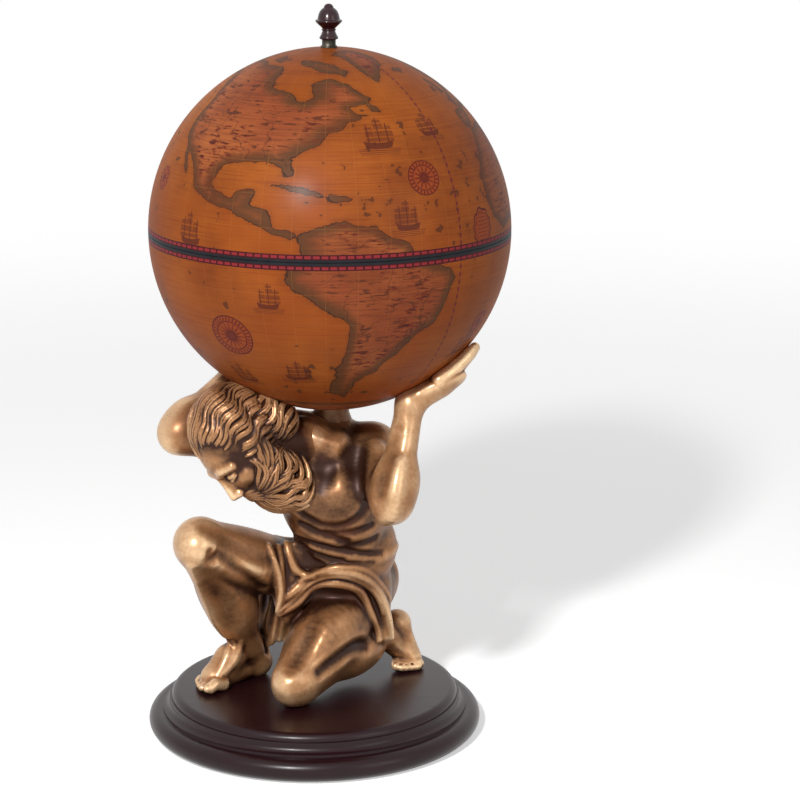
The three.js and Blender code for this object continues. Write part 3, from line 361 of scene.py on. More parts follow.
# Half shells: two moulded half spheres, each printed with half of a world map in an old engraved
# style and varnished. The map is made up of coarse outlines of the lands, given as [longitude,
# latitude] in degrees; the engraver's wiggles come from noise.
lower_rim_low, lower_rim_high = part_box("lower_rim")
globe_radius = (lower_rim_high[0] - lower_rim_low[0]) / 2
globe_x = (lower_rim_high[0] + lower_rim_low[0]) / 2
globe_z = (lower_rim_high[2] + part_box("lid_rim")[0][2]) / 2
globe_middle = (globe_x, 0, globe_z)
shell_wall = 0.005
rim_height = globe_z - lower_rim_low[2]
map_front = -78  # degrees: the longitude that faces forward
stud_hole, bolt_hole = 0.0028, 0.0043
lands = [
    [(-168, 66), (-160, 70), (-152, 71), (-140, 69), (-128, 70), (-115, 68), (-108, 68), (-98, 68),
     (-94, 66), (-94, 60), (-92, 57), (-85, 55), (-82, 52), (-80, 51), (-78, 53), (-78, 60), (-74, 62),
     (-69, 60), (-65, 59), (-62, 56), (-56, 52), (-60, 50), (-67, 49), (-64, 46), (-60, 46), (-66, 44),
     (-70, 43), (-71, 41), (-74, 40), (-76, 36), (-78, 34), (-81, 31), (-80, 26), (-81, 25), (-82, 28),
     (-85, 30), (-90, 29), (-94, 29), (-97, 27), (-98, 22), (-96, 19), (-92, 18), (-91, 20), (-87, 21),
     (-88, 16), (-84, 15), (-83, 10), (-79, 9), (-80, 7), (-84, 9), (-88, 12), (-94, 15), (-98, 16),
     (-105, 20), (-107, 25), (-112, 30), (-114, 30), (-110, 23), (-113, 26), (-117, 32), (-121, 35),
     (-124, 40), (-124, 48), (-130, 54), (-136, 58), (-145, 60), (-152, 59), (-160, 56), (-158, 59),
     (-165, 62)],
    [(-79, 8), (-76, 10), (-72, 12), (-68, 11), (-62, 10), (-58, 7), (-52, 5), (-50, 0), (-44, -2),
     (-38, -4), (-35, -7), (-37, -12), (-39, -17), (-41, -22), (-46, -24), (-49, -27), (-53, -33),
     (-57, -36), (-58, -39), (-63, -41), (-66, -45), (-68, -50), (-70, -54), (-74, -51), (-74, -44),
     (-73, -36), (-71, -30), (-70, -20), (-74, -16), (-77, -12), (-81, -6), (-80, -2), (-78, 3)],
    [(-46, 60), (-50, 63), (-54, 69), (-60, 76), (-71, 78), (-60, 82), (-30, 83), (-18, 80), (-20, 73),
     (-26, 69), (-38, 65)],
    [(-90, 73), (-80, 73), (-68, 68), (-62, 66), (-66, 63), (-74, 65), (-86, 70)],
    [(-120, 71), (-104, 70), (-104, 73), (-118, 76)],
    [(-84, 23), (-80, 23), (-75, 20), (-78, 20), (-82, 22)],
    [(-74, 20), (-69, 19), (-70, 18), (-74, 18)],
    [(-59, 51), (-54, 49), (-53, 47), (-58, 47)],
    [(-67, 18.5), (-65, 18.5), (-65, 18), (-67, 18)],
    [(-78, 18.5), (-76, 18), (-78, 17.8)],
    [(-24, 65), (-20, 66), (-14, 65), (-18, 63)],
    [(-61, -51), (-58, -51), (-58, -52), (-61, -52)],
    [(-5, 50), (1, 51), (0, 54), (-3, 58), (-6, 57), (-3, 54)],
    [(-10, 52), (-6, 52), (-6, 55), (-9, 54)],
    [(-17, 15), (-17, 21), (-13, 27), (-10, 31), (-6, 36), (3, 37), (10, 37), (11, 33), (20, 31),
     (30, 31), (34, 28), (37, 21), (43, 12), (51, 12), (47, 4), (41, -3), (40, -14), (35, -20),
     (32, -28), (26, -34), (19, -34), (14, -22), (12, -12), (9, -1), (9, 4), (2, 6), (-8, 4), (-14, 9)],
    [(-9, 37), (-9, 43), (-1, 44), (-4, 48), (3, 51), (9, 54), (9, 57), (14, 54), (22, 56), (30, 60),
     (22, 61), (24, 66), (17, 62), (18, 57), (13, 56), (6, 58), (6, 62), (14, 68), (26, 71), (40, 67),
     (58, 69), (72, 72), (90, 75), (105, 78), (118, 73), (140, 72), (160, 70), (182, 67), (188, 65),
     (176, 62), (163, 60), (162, 55), (157, 51), (155, 59), (142, 59), (136, 55), (140, 48), (130, 42),
     (127, 36), (122, 39), (120, 35), (122, 30), (116, 23), (108, 20), (109, 13), (105, 9), (101, 13),
     (103, 2), (99, 8), (97, 17), (90, 22), (86, 20), (80, 14), (77, 8), (73, 18), (68, 24), (58, 25),
     (51, 28), (48, 30), (56, 25), (57, 18), (45, 13), (38, 22), (35, 29), (36, 36), (28, 37), (26, 40),
     (22, 37), (19, 42), (13, 45), (18, 40), (15, 38), (10, 44), (3, 43), (-1, 38)],
    [(114, -22), (122, -17), (130, -12), (136, -12), (141, -17), (143, -11), (147, -19), (153, -27),
     (150, -37), (144, -38), (137, -34), (130, -32), (122, -34), (115, -34)],
    [(44, -16), (50, -15), (47, -25), (44, -23)],
    [(131, 32), (136, 34), (141, 36), (142, 43), (139, 40), (136, 37)],
    [(109, 2), (117, 7), (119, 1), (115, -4), (110, -2)],
    [(95, 6), (104, -1), (106, -6), (101, -2)],
    [(131, -1), (141, -3), (150, -9), (142, -9), (134, -4)],
    [(173, -35), (178, -38), (174, -41), (167, -46), (172, -41)],
    [(120, 18), (124, 13), (126, 7), (121, 13)],
]
ice_edge = -60  # latitude of the southern land's coast
west_from, west_span, west_stretch = -72, 130, 22  # degrees: the old map draws the west too wide


def towards(longitude, latitude):
    """The direction from the globe's middle of a place, or of an array of places, on the map."""
    turn_east, rise = np.radians(longitude - map_front), np.radians(latitude)
    parts = [np.cos(rise) * np.sin(turn_east), -np.cos(rise) * np.cos(turn_east), np.sin(rise)]
    return np.stack(np.broadcast_arrays(*parts), axis=-1)


def unit(vectors):
    """The vector, or each row of vectors, with its length made 1."""
    return vectors / np.maximum(np.linalg.norm(vectors, axis=-1, keepdims=True), 1e-9)


def coast_distance(points):
    """How far inland each point of the globe lies, in metres; less than 0 at sea."""
    out = unit(points)
    latitude = np.degrees(np.arcsin(out[:, 2]))
    longitude = np.degrees(np.arctan2(out[:, 0], -out[:, 1])) + map_front
    westward = np.clip((west_from - longitude) / west_span, 0, 1)
    longitude = longitude + west_stretch * np.sin(math.pi * westward)
    out = towards(longitude, latitude)
    inland = np.radians(ice_edge - latitude)
    for land in lands:
        corners = np.array([*land, land[0]], dtype=float)
        middle = (corners[:, 0].min() + corners[:, 0].max()) / 2
        x = (longitude - middle + 180) % 360 - 180 + middle
        inside = np.zeros(len(out), dtype=bool)
        nearest = np.full(len(out), np.inf)
        for (x1, y1), (x2, y2) in zip(corners, corners[1:]):
            if y1 != y2:
                crossed = (latitude < y1) != (latitude < y2)
                inside ^= crossed & (x < x1 + (latitude - y1) * (x2 - x1) / (y2 - y1))
            start, end = towards(x1, y1), towards(x2, y2)
            along = np.clip((out - start) @ (end - start) / ((end - start) @ (end - start)), 0, 1)
            gap = np.linalg.norm(out - start - along[:, None] * (end - start), axis=1)
            nearest = np.minimum(nearest, gap)
        inland = np.maximum(inland, np.where(inside, nearest, -nearest))
    return inland * globe_radius


def mark(piece, name, values_at):
    """Gives each point of a piece a value, from a function of the points' places."""
    places = np.empty(len(piece.data.vertices) * 3)
    piece.data.vertices.foreach_get("co", places)
    layer = piece.data.attributes.new(name, "FLOAT", "POINT")
    layer.data.foreach_set("value", values_at(places.reshape(-1, 3)))


def half_shell(name, side, hole, body, node):
    """Half of the globe, open at the rim, with a hole for the stud or the bolt at its pole."""
    outer = arc((0, 0), globe_radius, 90, 0, 96)
    inner_radius = globe_radius - shell_wall
    inner = arc((0, 0), inner_radius, 0, 90, 48)
    clear_of_rim = rim_height * 1.3
    edge = math.sqrt(globe_radius**2 - rim_height**2)
    inner_edge = math.sqrt(inner_radius**2 - rim_height**2)
    section = [(hole, globe_radius), *[p for p in outer if p[0] > hole and p[1] > clear_of_rim]]
    section += [(edge, rim_height), (inner_edge, rim_height)]
    section += [p for p in inner if p[0] > hole and p[1] > clear_of_rim] + [(hole, inner_radius)]
    shell = turn(name, [(r, side * z) for r, z in section], steps=384, closed=True)
    mark(shell, "coast", coast_distance)
    shell.location = globe_middle
    finished(shell, body, "map_print", map_paint, node)


map_paint = Paint(
    "map_print", Coat_Weight=0.11, Coat_Roughness=0.3, Roughness=0.6, Specular_IOR_Level=0.1
)
map_place = map_paint.place()
map_x, map_y, map_z = map_paint.split(map_place)
latitude = (map_z / globe_radius).math("ARCSINE")
longitude = map_x.math("ARCTAN2", 0 - map_y)
parallel_radius = (map_x * map_x + map_y * map_y).math("SQRT")


def nearest_line(value, spacing):
    """How far a value lies from the nearest multiple of the spacing."""
    return abs((value + spacing / 2) % spacing - spacing / 2)


def tangent(longitude_degrees, latitude_degrees, size):
    """East and north of a place on the map, in units of size; out of reach on the far side."""
    out = Vector(towards(longitude_degrees, latitude_degrees))
    east = Vector((-out.y, out.x, 0)).normalized()
    north = out.cross(east)
    lengths = []
    for axis in (east, north, out):
        sockets = {0: map_place, 1: axis}
        lengths.append(map_paint.node("VectorMath", sockets, 1, operation="DOT_PRODUCT"))
    behind = (lengths[2] < 0) * 99
    return lengths[0] / size + behind, lengths[1] / size + behind


def rose(longitude_degrees, latitude_degrees, size, points):
    """A compass rose: a rim with ticks round a disc, and a star. Gives its disc and its ink."""
    u, v = tangent(longitude_degrees, latitude_degrees, size)
    reach = (u * u + v * v).math("SQRT")
    turned = v.math("ARCTAN2", u)
    spokes = (turned * (points / 2)).math("COSINE")
    star = reach < 0.3 + 0.36 * (abs(spokes) ** 5)
    ticks = ((turned * points * 2).math("SINE") > 0.2) * (reach > 0.74) * (reach < 0.92)
    rings = (abs(reach - 0.97) < 0.03).most(abs(reach - 0.7) < 0.025)
    hub = (abs(reach - 0.2) < 0.03) * 0.9
    return reach < 1, rings.most(ticks * 0.8).most(star * 0.75).most(hub)


def ship(longitude_degrees, latitude_degrees, size, heading):
    """A small plain sailing ship over a few waves. Gives its ink."""
    u, v = tangent(longitude_degrees, latitude_degrees, size)
    u = u * heading
    hull = (abs(v + 0.42 - 0.25 * (u * u)) < 0.14) * (abs(u) < 0.72 + v * 0.3)
    ink = hull * 0.9
    for mast, height, width in ((-0.42, 0.5, 0.18), (0.05, 0.86, 0.24), (0.45, 0.56, 0.17)):
        belly = u - mast - 0.1 * (1 - v * v)
        sails = (abs(belly) < width * (1.1 - v * 0.4)) * (v > -0.2) * (v < height)
        furl = nearest_line(v, 0.34) > 0.035
        pole = (abs(u - mast) < 0.025) * (v > -0.3) * (v < height + 0.12)
        ink = ink.most(sails * furl * 0.6).most(pole)
    waves = (nearest_line(v, 0.09) < 0.02) * (v < -0.5) * (v > -0.82) * (abs(u) < 1.1 + v * 0.3)
    return ink.most(waves * 0.7)


def cartouche(longitude_degrees, latitude_degrees, size):
    """An oval frame with a scrolled edge round plain ruled lines. Gives its field and its ink."""
    u, v = tangent(longitude_degrees, latitude_degrees, size)
    turned = v.math("ARCTAN2", u)
    reach = (u * u * 1.9 + v * v).math("SQRT") + 0.05 * (turned * 10).math("SINE")
    frame_ink = (abs(reach - 0.86) < 0.05).most(abs(reach - 0.68) < 0.02)
    rules = (nearest_line(v, 0.16) < 0.022) * (reach < 0.56)
    return reach < 0.88, frame_ink.most(rules * 0.6)


def inked(share, base, *ink):
    """Lays an ink, given as red, green and blue up to 255, over a share of the print."""
    return map_paint.colour_mix(share, base, srgb(*ink))


wiggle = map_paint.noise(46, 4, roughness=0.6) - 0.5
fine_wiggle = map_paint.noise(210, 2) - 0.5
coast = map_paint.node("Attribute", (), 2, attribute_name="coast")
coast = coast + wiggle * 0.011 + fine_wiggle * 0.0022
land = coast.ramp(-0.0002, 0.0002)
islets = (map_paint.noise(80, 2, roughness=0.5) > 0.66) * (map_paint.noise(9, 1) > 0.5)
cloud = map_paint.noise(7, 3)
streaks = map_paint.noise(1, 3, map_paint.stretched(16, 16, 620), 0.6)
strokes = map_paint.noise(1, 2, map_paint.stretched(70, 70, 330), 0.6)

# The sea is toned brown, streaked, given a painted shade below, and hatched along the coasts.
sea_colour = map_paint.colour_mix(cloud.ramp(0.3, 0.7), srgb(150, 74, 22), srgb(184, 104, 36))
sea_colour = inked(streaks.ramp(0.45, 0.75) * 0.55, sea_colour, 118, 52, 20)
haze = map_paint.noise(3.2, 2).ramp(0.42, 0.62) * 0.35
# Painted shade: the lower part of the globe is darkened, together with the random haze.
painted_underside_shade = (1 - map_z.ramp(-0.2, -0.07)) * 0.5
sea_colour = inked(haze.most(painted_underside_shade), sea_colour, 142, 56, 24)
hatch_pitch, hatch_width = 0.0011, 0.00022
shore_lines = nearest_line(map_z, hatch_pitch) < hatch_width
shore_lines = shore_lines * coast.ramp(-0.006, -0.0005) * (1 - land)
sea_colour = inked(shore_lines * 0.5, sea_colour, 84, 42, 22)

# The lands have a darker band along the coast, and strokes of mountains and rivers inland.
inland_colour = map_paint.colour_mix(cloud.ramp(0.35, 0.65), srgb(146, 72, 40), srgb(178, 100, 54))
inland_colour = inked(streaks.ramp(0.4, 0.7) * 0.55, inland_colour, 98, 50, 32)
shore_band = 1 - coast.ramp(0.002, 0.015)
land_colour = inked(shore_band * 0.85, inland_colour, 78, 52, 30)
ranges = map_paint.noise(13, 2).ramp(0.5, 0.62)
peaks = strokes.ramp(0.5, 0.6) * ranges * (1 - shore_band * 0.7)
land_colour = inked(peaks * 0.85, land_colour, 100, 28, 22)
shadows = strokes.ramp(0.58, 0.66) * (1 - shore_band) * 0.75
land_colour = inked(shadows, land_colour, 58, 30, 22)
rivers = (abs(map_paint.noise(16, 3) - 0.5) < 0.0045) * coast.ramp(0.001, 0.004)
land_colour = inked(rivers * 0.6, land_colour, 58, 34, 24)

print_colour = map_paint.colour_mix(land, sea_colour, land_colour)
print_colour = inked(islets * (1 - land) * 0.8, print_colour, 74, 44, 26)
coast_line = (1 - abs(coast).ramp(0.0002, 0.0008)) * 0.85
print_colour = inked(coast_line, print_colour, 42, 24, 18)
smoke = map_paint.noise(5, 5, roughness=0.65).ramp(0.4, 0.7) * 0.6
print_colour = inked(smoke, print_colour, 92, 38, 18)

# Over both lie the graticule and the tropics, roses and cartouches, ships, a scale of latitudes
# along one meridian, and a checked border above and below the rims. The inside is plain.
line_spacing = math.radians(10)
line_width = 0.00018
meridians = nearest_line(longitude, line_spacing) * parallel_radius < line_width
parallels = nearest_line(latitude, line_spacing) * globe_radius < line_width
print_colour = inked(meridians.most(parallels) * 0.35, print_colour, 190, 118, 56)
tropic = math.radians(23.5)
circles = abs(abs(latitude) - tropic) * globe_radius < 0.0003
print_colour = inked(circles * 0.5, print_colour, 110, 36, 28)

roses = [rose(-112, -26, 0.027, 16), rose(-44, 24, 0.02, 12), rose(-147, 20, 0.014, 8)]
roses += [rose(-14, -26, 0.015, 16), rose(80, -28, 0.022, 16), rose(168, 22, 0.016, 8)]
roses += [cartouche(-22, 6, 0.026), cartouche(-146, -36, 0.024), cartouche(62, -8, 0.024)]
for disc, ink in roses:
    print_colour = inked(disc * 0.55, print_colour, 150, 60, 32)
    print_colour = inked(ink, print_colour, 82, 24, 22)
ships = [ship(-58, 38, 0.026, 1), ship(-124, 6, 0.024, -1), ship(-96, -12, 0.02, 1)]
ships += [ship(-90, -40, 0.022, 1), ship(-52, 12, 0.022, -1), ship(-116, -44, 0.022, -1)]
ships += [ship(-34, 40, 0.02, -1), ship(-18, -34, 0.024, 1), ship(90, -14, 0.02, 1)]
ships += [ship(-166, 2, 0.024, -1)]
for ink in ships:
    print_colour = inked(ink * 0.9, print_colour, 78, 30, 22)

scale_longitude = math.radians(45)
scale_offset = abs(longitude - scale_longitude) * parallel_radius
scale_dashes = (latitude % math.radians(2.4)) < math.radians(1.2)
scale_ink = (scale_offset < 0.0014) * (0.4 + 0.6 * scale_dashes)
scale_ink = scale_ink * (scale_offset > 0.0004).most(scale_dashes)
print_colour = inked(scale_ink * 0.8, print_colour, 92, 24, 40)

border_height = 0.0058
border_middle = rim_height + border_height / 2
border = abs(map_z) < rim_height + border_height
check_width, check_height, check_pitch = 0.0073, 0.0031, 0.0094
check_turn = 2 * math.pi / round(2 * math.pi * globe_radius / check_pitch)
along_border = nearest_line(longitude, check_turn) * globe_radius < check_width / 2
across_border = abs(abs(map_z) - border_middle) < check_height / 2
print_colour = inked(border, print_colour, 60, 13, 20)
print_colour = inked(along_border * across_border, print_colour, 140, 44, 48)
printed = (map_x * map_x + map_y * map_y + map_z * map_z) > (globe_radius - shell_wall / 2) ** 2
lining = map_paint.colour_mix(cloud, srgb(196, 168, 124), srgb(214, 190, 150))
map_paint.feed(Base_Color=map_paint.colour_mix(printed, lining, print_colour))
map_paint.bump(streaks * 0.5 + map_paint.noise(30, 2), 0.08, 0.0006)

half_shell("printed_lid_shell", 1, stud_hole, "lid", "lid_shell")
half_shell("printed_lower_shell", -1, bolt_hole, "root", "lower_shell")

# Rims: a ring of satin black plastic, glued into the edge of each half shell. The closed halves
# meet here with a thin seam.
black_paint = Paint("black_rim", Specular_IOR_Level=0.15)
rim_scuffs = black_paint.noise(60, 4)
rim_colour = black_paint.colour_mix(rim_scuffs, srgb(20, 21, 24), srgb(40, 41, 45))
black_paint.feed(Base_Color=rim_colour, Roughness=0.38 + rim_scuffs * 0.2)
black_paint.bump(rim_scuffs, 0.06, 0.0003)
rim_width, rim_bevel = 0.014, 0.0004
half_seam = globe_z - lower_rim_high[2]
rim_inside = globe_radius - rim_width
rim_section = [
    (rim_inside, rim_height), (globe_radius, rim_height), (globe_radius, half_seam + rim_bevel),
    (globe_radius - rim_bevel, half_seam), (rim_inside, half_seam),
]
rim_rings = (("lid_rim_ring", 1, "lid", "lid_rim"), ("lower_rim_ring", -1, "root", "lower_rim"))
for name, side, body, node in rim_rings:
    rim = turn(name, [(r, side * z) for r, z in rim_section], steps=384, closed=True)
    rim.location = globe_middle
    finished(rim, body, "black_rim", black_paint, node)

# Finial: a turned and lacquered acorn of dark wood on a blackened metal collar. A stud runs from
# it through the lid, and a washer and nut hold it inside.
finial_low, finial_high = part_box("finial")
finial_radius = (finial_high[0] - finial_low[0]) / 2
collar_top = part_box("finial_collar")[1][2]
finial_height = finial_high[2] - collar_top
stud_radius = 0.0027
finial_shares = [  # [share of the radius, share of the height], from the tip down
    (0, 1), (0.14, 0.992), (0.26, 0.965), (0.335, 0.925), (0.365, 0.885), (0.4, 0.872), (0.5, 0.85),
    (0.64, 0.79), (0.74, 0.71), (0.8, 0.62), (0.83, 0.56), (0.86, 0.55), (0.96, 0.54), (0.995, 0.52),
    (0.995, 0.5), (0.95, 0.475), (0.84, 0.43), (0.68, 0.375), (0.55, 0.33), (0.5, 0.305), (0.49, 0.29),
    (0.53, 0.28), (0.545, 0.265), (0.53, 0.25), (0.47, 0.235), (0.485, 0.22), (0.52, 0.18),
    (0.6, 0.11), (0.69, 0.055), (0.7, 0.035), (0.68, 0.01), (0.64, 0), (0, 0),
]
finial_outline = [(finial_radius * r, collar_top + finial_height * h) for r, h in finial_shares]
finial_wood = wood_paint("finial_wood", srgb(26, 9, 13), srgb(56, 20, 26), 0.2, 2, coat=0.25)
finial = turn("acorn_finial", finial_outline, steps=96, centre=(globe_x, 0))
finished(finial, "lid", "dark_mahogany", finial_wood, "finial")


def metal_paint(name, dark, pale, roughness):
    """Cast or drawn metal with fine scratches and a patchy tarnish."""
    paint = Paint(name, Metallic=1.0)
    tarnish = paint.noise(60, 4)
    scratches = paint.noise(1, 2, paint.stretched(40, 40, 900), 0.7)
    colour = paint.colour_mix(tarnish.ramp(0.3, 0.7), dark, pale)
    paint.feed(Base_Color=colour, Roughness=roughness + tarnish * 0.12 + scratches * 0.08)
    paint.bump(tarnish + scratches * 0.6, 0.1, 0.0002)
    return paint


collar_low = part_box("finial_collar")[0][2]
collar_height = collar_top - collar_low
black_metal = metal_paint("blackened_metal", srgb(44, 42, 38), srgb(92, 88, 80), 0.32)
collar_shares = [  # [radius, share of the height], from the top down
    (stud_radius, 1), (0.0078, 1), (0.0081, 0.96), (0.0079, 0.9), (0.0079, 0.3), (0.0084, 0.2),
    (0.0093, 0.16), (0.0096, 0.1), (0.0096, 0), (stud_radius, 0),
]
collar_outline = [(r, collar_low + collar_height * h) for r, h in collar_shares]
collar = turn("finial_collar_ring", collar_outline, steps=96, centre=(globe_x, 0), closed=True)
finished(collar, "lid", "steel", black_metal, "finial_collar")


def repainted(paint, slot, *nodes):
    """Carried-over pieces that only get a finish."""
    for node in nodes:
        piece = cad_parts[node]
        piece.data.materials.clear()
        piece.data.materials.append(paint.material)


zinc_steel = metal_paint("zinc_steel", srgb(150, 150, 152), srgb(196, 196, 196), 0.26)
repainted(zinc_steel, "steel", "finial_stud", "finial_washer", "finial_nut")

# Bolt and base screws: plain zinc-plated steel. The bolt and its washer hold the globe down on the
# figure's nape, and three screws come up through the plinth into the knee, the instep and the heel.
repainted(zinc_steel, "steel", "globe_bolt", "globe_washer", *(f"base_screw_{i}" for i in (1, 2, 3)))

# Rack: a round veneered plate just below the rim, with wells for three bottles in the middle and
# seven glasses round them. It lies on a glued ledge, and the bottles stand on a floor below.
rack_low, rack_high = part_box("rack_plate")
rack_radius = (rack_high[0] - rack_low[0]) / 2
rack_wood = wood_paint(
    "rack_wood", srgb(82, 38, 20), srgb(140, 74, 38), 0.32, 0, coat=0.3, ring_scale=0.7
)
well_groups = [  # [radius, how far from the middle, turns]: the eighth glass makes way for the stay
    (0.045, 0.060, [2 * math.pi * i / 3 for i in range(3)]),
    (0.030, 0.150, [2 * math.pi * (i - 3) / 8 for i in range(7)]),
]
guide_low, guide_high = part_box("stay_guide")
slot_middle = (guide_low[1] + guide_high[1]) / 2
slot_x, slot_y = 0.00355, 0.01  # half sizes of the slot that the stay slides through
rack_bevel = 0.0005


def round_outline(x, y, radius, steps):
    turns = [2 * math.pi * i / steps for i in range(steps)]
    return [(x + radius * math.cos(t), y + radius * math.sin(t)) for t in turns]


def pierced_plate(name, outer, holes, low, high, bevel):
    """A flat plate with holes, from closed outlines, with its edges softened."""
    outline = bpy.data.curves.new(name, "CURVE")
    outline.dimensions = "2D"
    outline.fill_mode = "BOTH"
    for loop in (outer, *holes):
        spline = outline.splines.new("POLY")
        spline.points.add(len(loop) - 1)
        for point, (x, y) in zip(spline.points, loop):
            point.co = (x, y, 0, 1)
        spline.use_cyclic_u = True
    outline.extrude = (high - low) / 2 - bevel
    outline.bevel_depth = bevel
    outline.bevel_resolution = 2
    outline.offset = -bevel
    holder = bpy.data.objects.new(name + "_outline", outline)
    bpy.context.scene.collection.objects.link(holder)
    filled = holder.evaluated_get(bpy.context.evaluated_depsgraph_get())
    mesh = bpy.data.meshes.new_from_object(filled)
    bpy.data.objects.remove(holder)
    mesh.name = name
    mesh.shade_smooth()
    mesh.set_sharp_from_angle(angle=sharp_edge)
    plate = bpy.data.objects.new(name, mesh)
    plate.location = (globe_x, 0, (low + high) / 2)
    bpy.context.scene.collection.objects.link(plate)
    return plate


wells = []
for radius, reach, turns in well_groups:
    wells += [round_outline(reach * math.sin(t), -reach * math.cos(t), radius, 72) for t in turns]
slot_outline = [(-slot_x, slot_middle - slot_y), (slot_x, slot_middle - slot_y)]
slot_outline += [(slot_x, slot_middle + slot_y), (-slot_x, slot_middle + slot_y)]
rack_outline, holes = round_outline(0, 0, rack_radius, 160), [*wells, slot_outline]
rack = pierced_plate("veneered_rack", rack_outline, holes, rack_low[2], rack_high[2], rack_bevel)
finished(rack, "root", "rack_wood", rack_wood, "rack_plate")
repainted(rack_wood, "rack_wood", "rack_ledge", "bottle_floor")

# Hinge and stay: a brass butt hinge screwed to the back of both halves, and a brass quadrant
# that hangs from the lid's rim, slides through a guide plate on the rack and stops the lid.
brass = metal_paint("brass", srgb(132, 106, 66), srgb(174, 143, 94), 0.3)
hinge_nodes = ["hinge_leaf_lower", "hinge_leaf_lid", "hinge_pin", "quadrant_stay", "stay_guide"]
screw_kinds = ("hinge_screw_lower", "hinge_screw_lid", "stay_screw", "stay_guide_screw")
screw_nodes = [f"{kind}_{i}" for kind in screw_kinds for i in (1, 2)]
repainted(brass, "brass", *hinge_nodes, *screw_nodes)

# Figure: a kneeling, bearded man who carries the globe, hollow cast and finished in aged bronze. It
# is modelled in clay, as a caster does: big forms first, then muscles, cloth, hair and face.
head_height = 0.12  # chin to crown: the figure is measured in heads
relief_widths = {
    "fine_relief": 0.004, "broad_relief": 0.014, "form_relief": 0.034, "limb_relief": 0.09,
}


def heads(*place):
    """Metres, from heads to the right, back and up from the middle of the plinth's top."""
    return np.array(place) * head_height + (0, 0, plinth_top)


class Clay:
    """A grid of points that hold how far they lie outside the clay, in metres."""

    far = 0.02

    def __init__(self, low, high, cell):
        self.low, self.cell = np.array(low), cell
        self.size = np.ceil((high - self.low) / cell).astype(int) + 1
        self.axes = [start + cell * np.arange(count, dtype=np.float32)
                     for start, count in zip(low, self.size)]
        self.distance = np.full(self.size, self.far, dtype=np.float32)

    def press(self, form, blend, carve=False):
        """Adds a form, or carves it away, with a soft fillet as wide as blend."""
        low, high, gap = form
        margin = blend + 0.006
        part = within(self.axes, low - margin, high + margin)
        shape = gap(*np.ix_(*(axis[cut] for axis, cut in zip(self.axes, part))), margin)
        side = -1 if carve else 1
        clay = self.distance[part] * side
        overlap = np.maximum(blend - abs(clay - shape), 0) / blend
        self.distance[part] = side * (np.minimum(clay, shape) - overlap**2 * blend / 4)

    def sample(self, points, values=None):
        """The values of the grid at some points, between its own points."""
        values = self.distance if values is None else values
        spots = np.clip((points - self.low) / self.cell, 0, self.size - 1.001)
        base = spots.astype(int)
        share = spots - base
        total = 0
        for corner in np.ndindex(2, 2, 2):
            weight = np.prod(np.where(corner, share, 1 - share), axis=-1)
            total = total + weight * values[tuple((base + corner).T)]
        return total

    def on_skin(self, points, lift):
        """Moves points onto the clay's surface, and then out by a lift."""
        points = np.array(points, dtype=float)
        for _ in range(6):
            slope = np.stack([self.sample(points + step) - self.sample(points - step)
                              for step in np.eye(3) * self.cell], axis=-1)
            points -= np.clip(self.sample(points) - lift, -0.006, 0.006)[:, None] * unit(slope)
        return points

    def blurred(self, width):
        """The grid's distances near the surface, each averaged over a cube of that width."""
        reach = max(0.008, width / 5)
        values = np.clip(self.distance, -reach, reach)
        cells = max(int(width / self.cell / 2), 1)
        for axis in (0, 1, 2):
            edge = [(cells + 1, cells) if a == axis else (0, 0) for a in range(3)]
            sums = np.cumsum(np.pad(values, edge, "edge"), axis)
            count = values.shape[axis]
            ahead = np.take(sums, np.arange(2 * cells + 1, 2 * cells + 1 + count), axis)
            values = (ahead - np.take(sums, np.arange(count), axis)) / (2 * cells + 1)
        return values

    def cast(self, name):
        """Casts the clay: a mesh, with how far each point of it stands proud of what is near."""
        volume = openvdb.FloatGrid(self.far)
        volume.copyFromArray(self.distance)
        points, quads = volume.convertToQuads(0)
        points = points * self.cell + self.low
        piece = new_mesh(name, points, quads[:, ::-1])
        for relief, width in relief_widths.items():
            blurred = self.blurred(width)
            mark(piece, relief, lambda places: self.sample(places, blurred) / width)
        return piece


def within(axes, low, high):
    """The part of a grid that lies between two corners."""
    return tuple(slice(*np.searchsorted(axis.ravel(), (a, b))) for axis, a, b in zip(axes, low, high))


def oval(middle, half, axes=np.eye(3)):
    """An oval with half sizes along the rows of axes."""
    middle, half = np.array(middle), np.array(half)

    def gap(x, y, z, margin):
        offsets = [x - np.float32(middle[0]), y - np.float32(middle[1]), z - np.float32(middle[2])]
        local = [sum(np.float32(a) * offset for a, offset in zip(row, offsets)) for row in axes]
        near = np.sqrt(sum((way / np.float32(h)) ** 2 for way, h in zip(local, half)))
        slope = np.sqrt(sum((way / np.float32(h**2)) ** 2 for way, h in zip(local, half)))
        return near * (near - 1) / np.maximum(slope, np.float32(1e-9))

    reach = half @ abs(axes)
    return middle - reach, middle + reach, gap


def rope(points, radii):
    """A round rope through points, with a radius at each."""
    points, radii = np.array(points, dtype=np.float32), np.float32(radii)

    def gap(x, y, z, margin):
        nearest = np.full(np.broadcast(x, y, z).shape, margin, dtype=np.float32)
        for start, end, first, last in zip(points, points[1:], radii, radii[1:]):
            reach = max(first, last) + margin
            near = within((x, y, z), np.minimum(start, end) - reach, np.maximum(start, end) + reach)
            dx = x[near[0]] - start[0]
            dy = y[:, near[1]] - start[1]
            dz = z[:, :, near[2]] - start[2]
            ax, ay, az = end - start
            length = max(ax * ax + ay * ay + az * az, np.float32(1e-12))
            share = np.clip((dx * ax + dy * ay + dz * az) / length, 0, 1)
            off = np.sqrt((dx - share * ax) ** 2 + (dy - share * ay) ** 2 + (dz - share * az) ** 2)
            nearest[near] = np.minimum(nearest[near], off - first - (last - first) * share)
        return nearest

    widest = max(radii)
    return points.min(axis=0) - widest, points.max(axis=0) + widest, gap


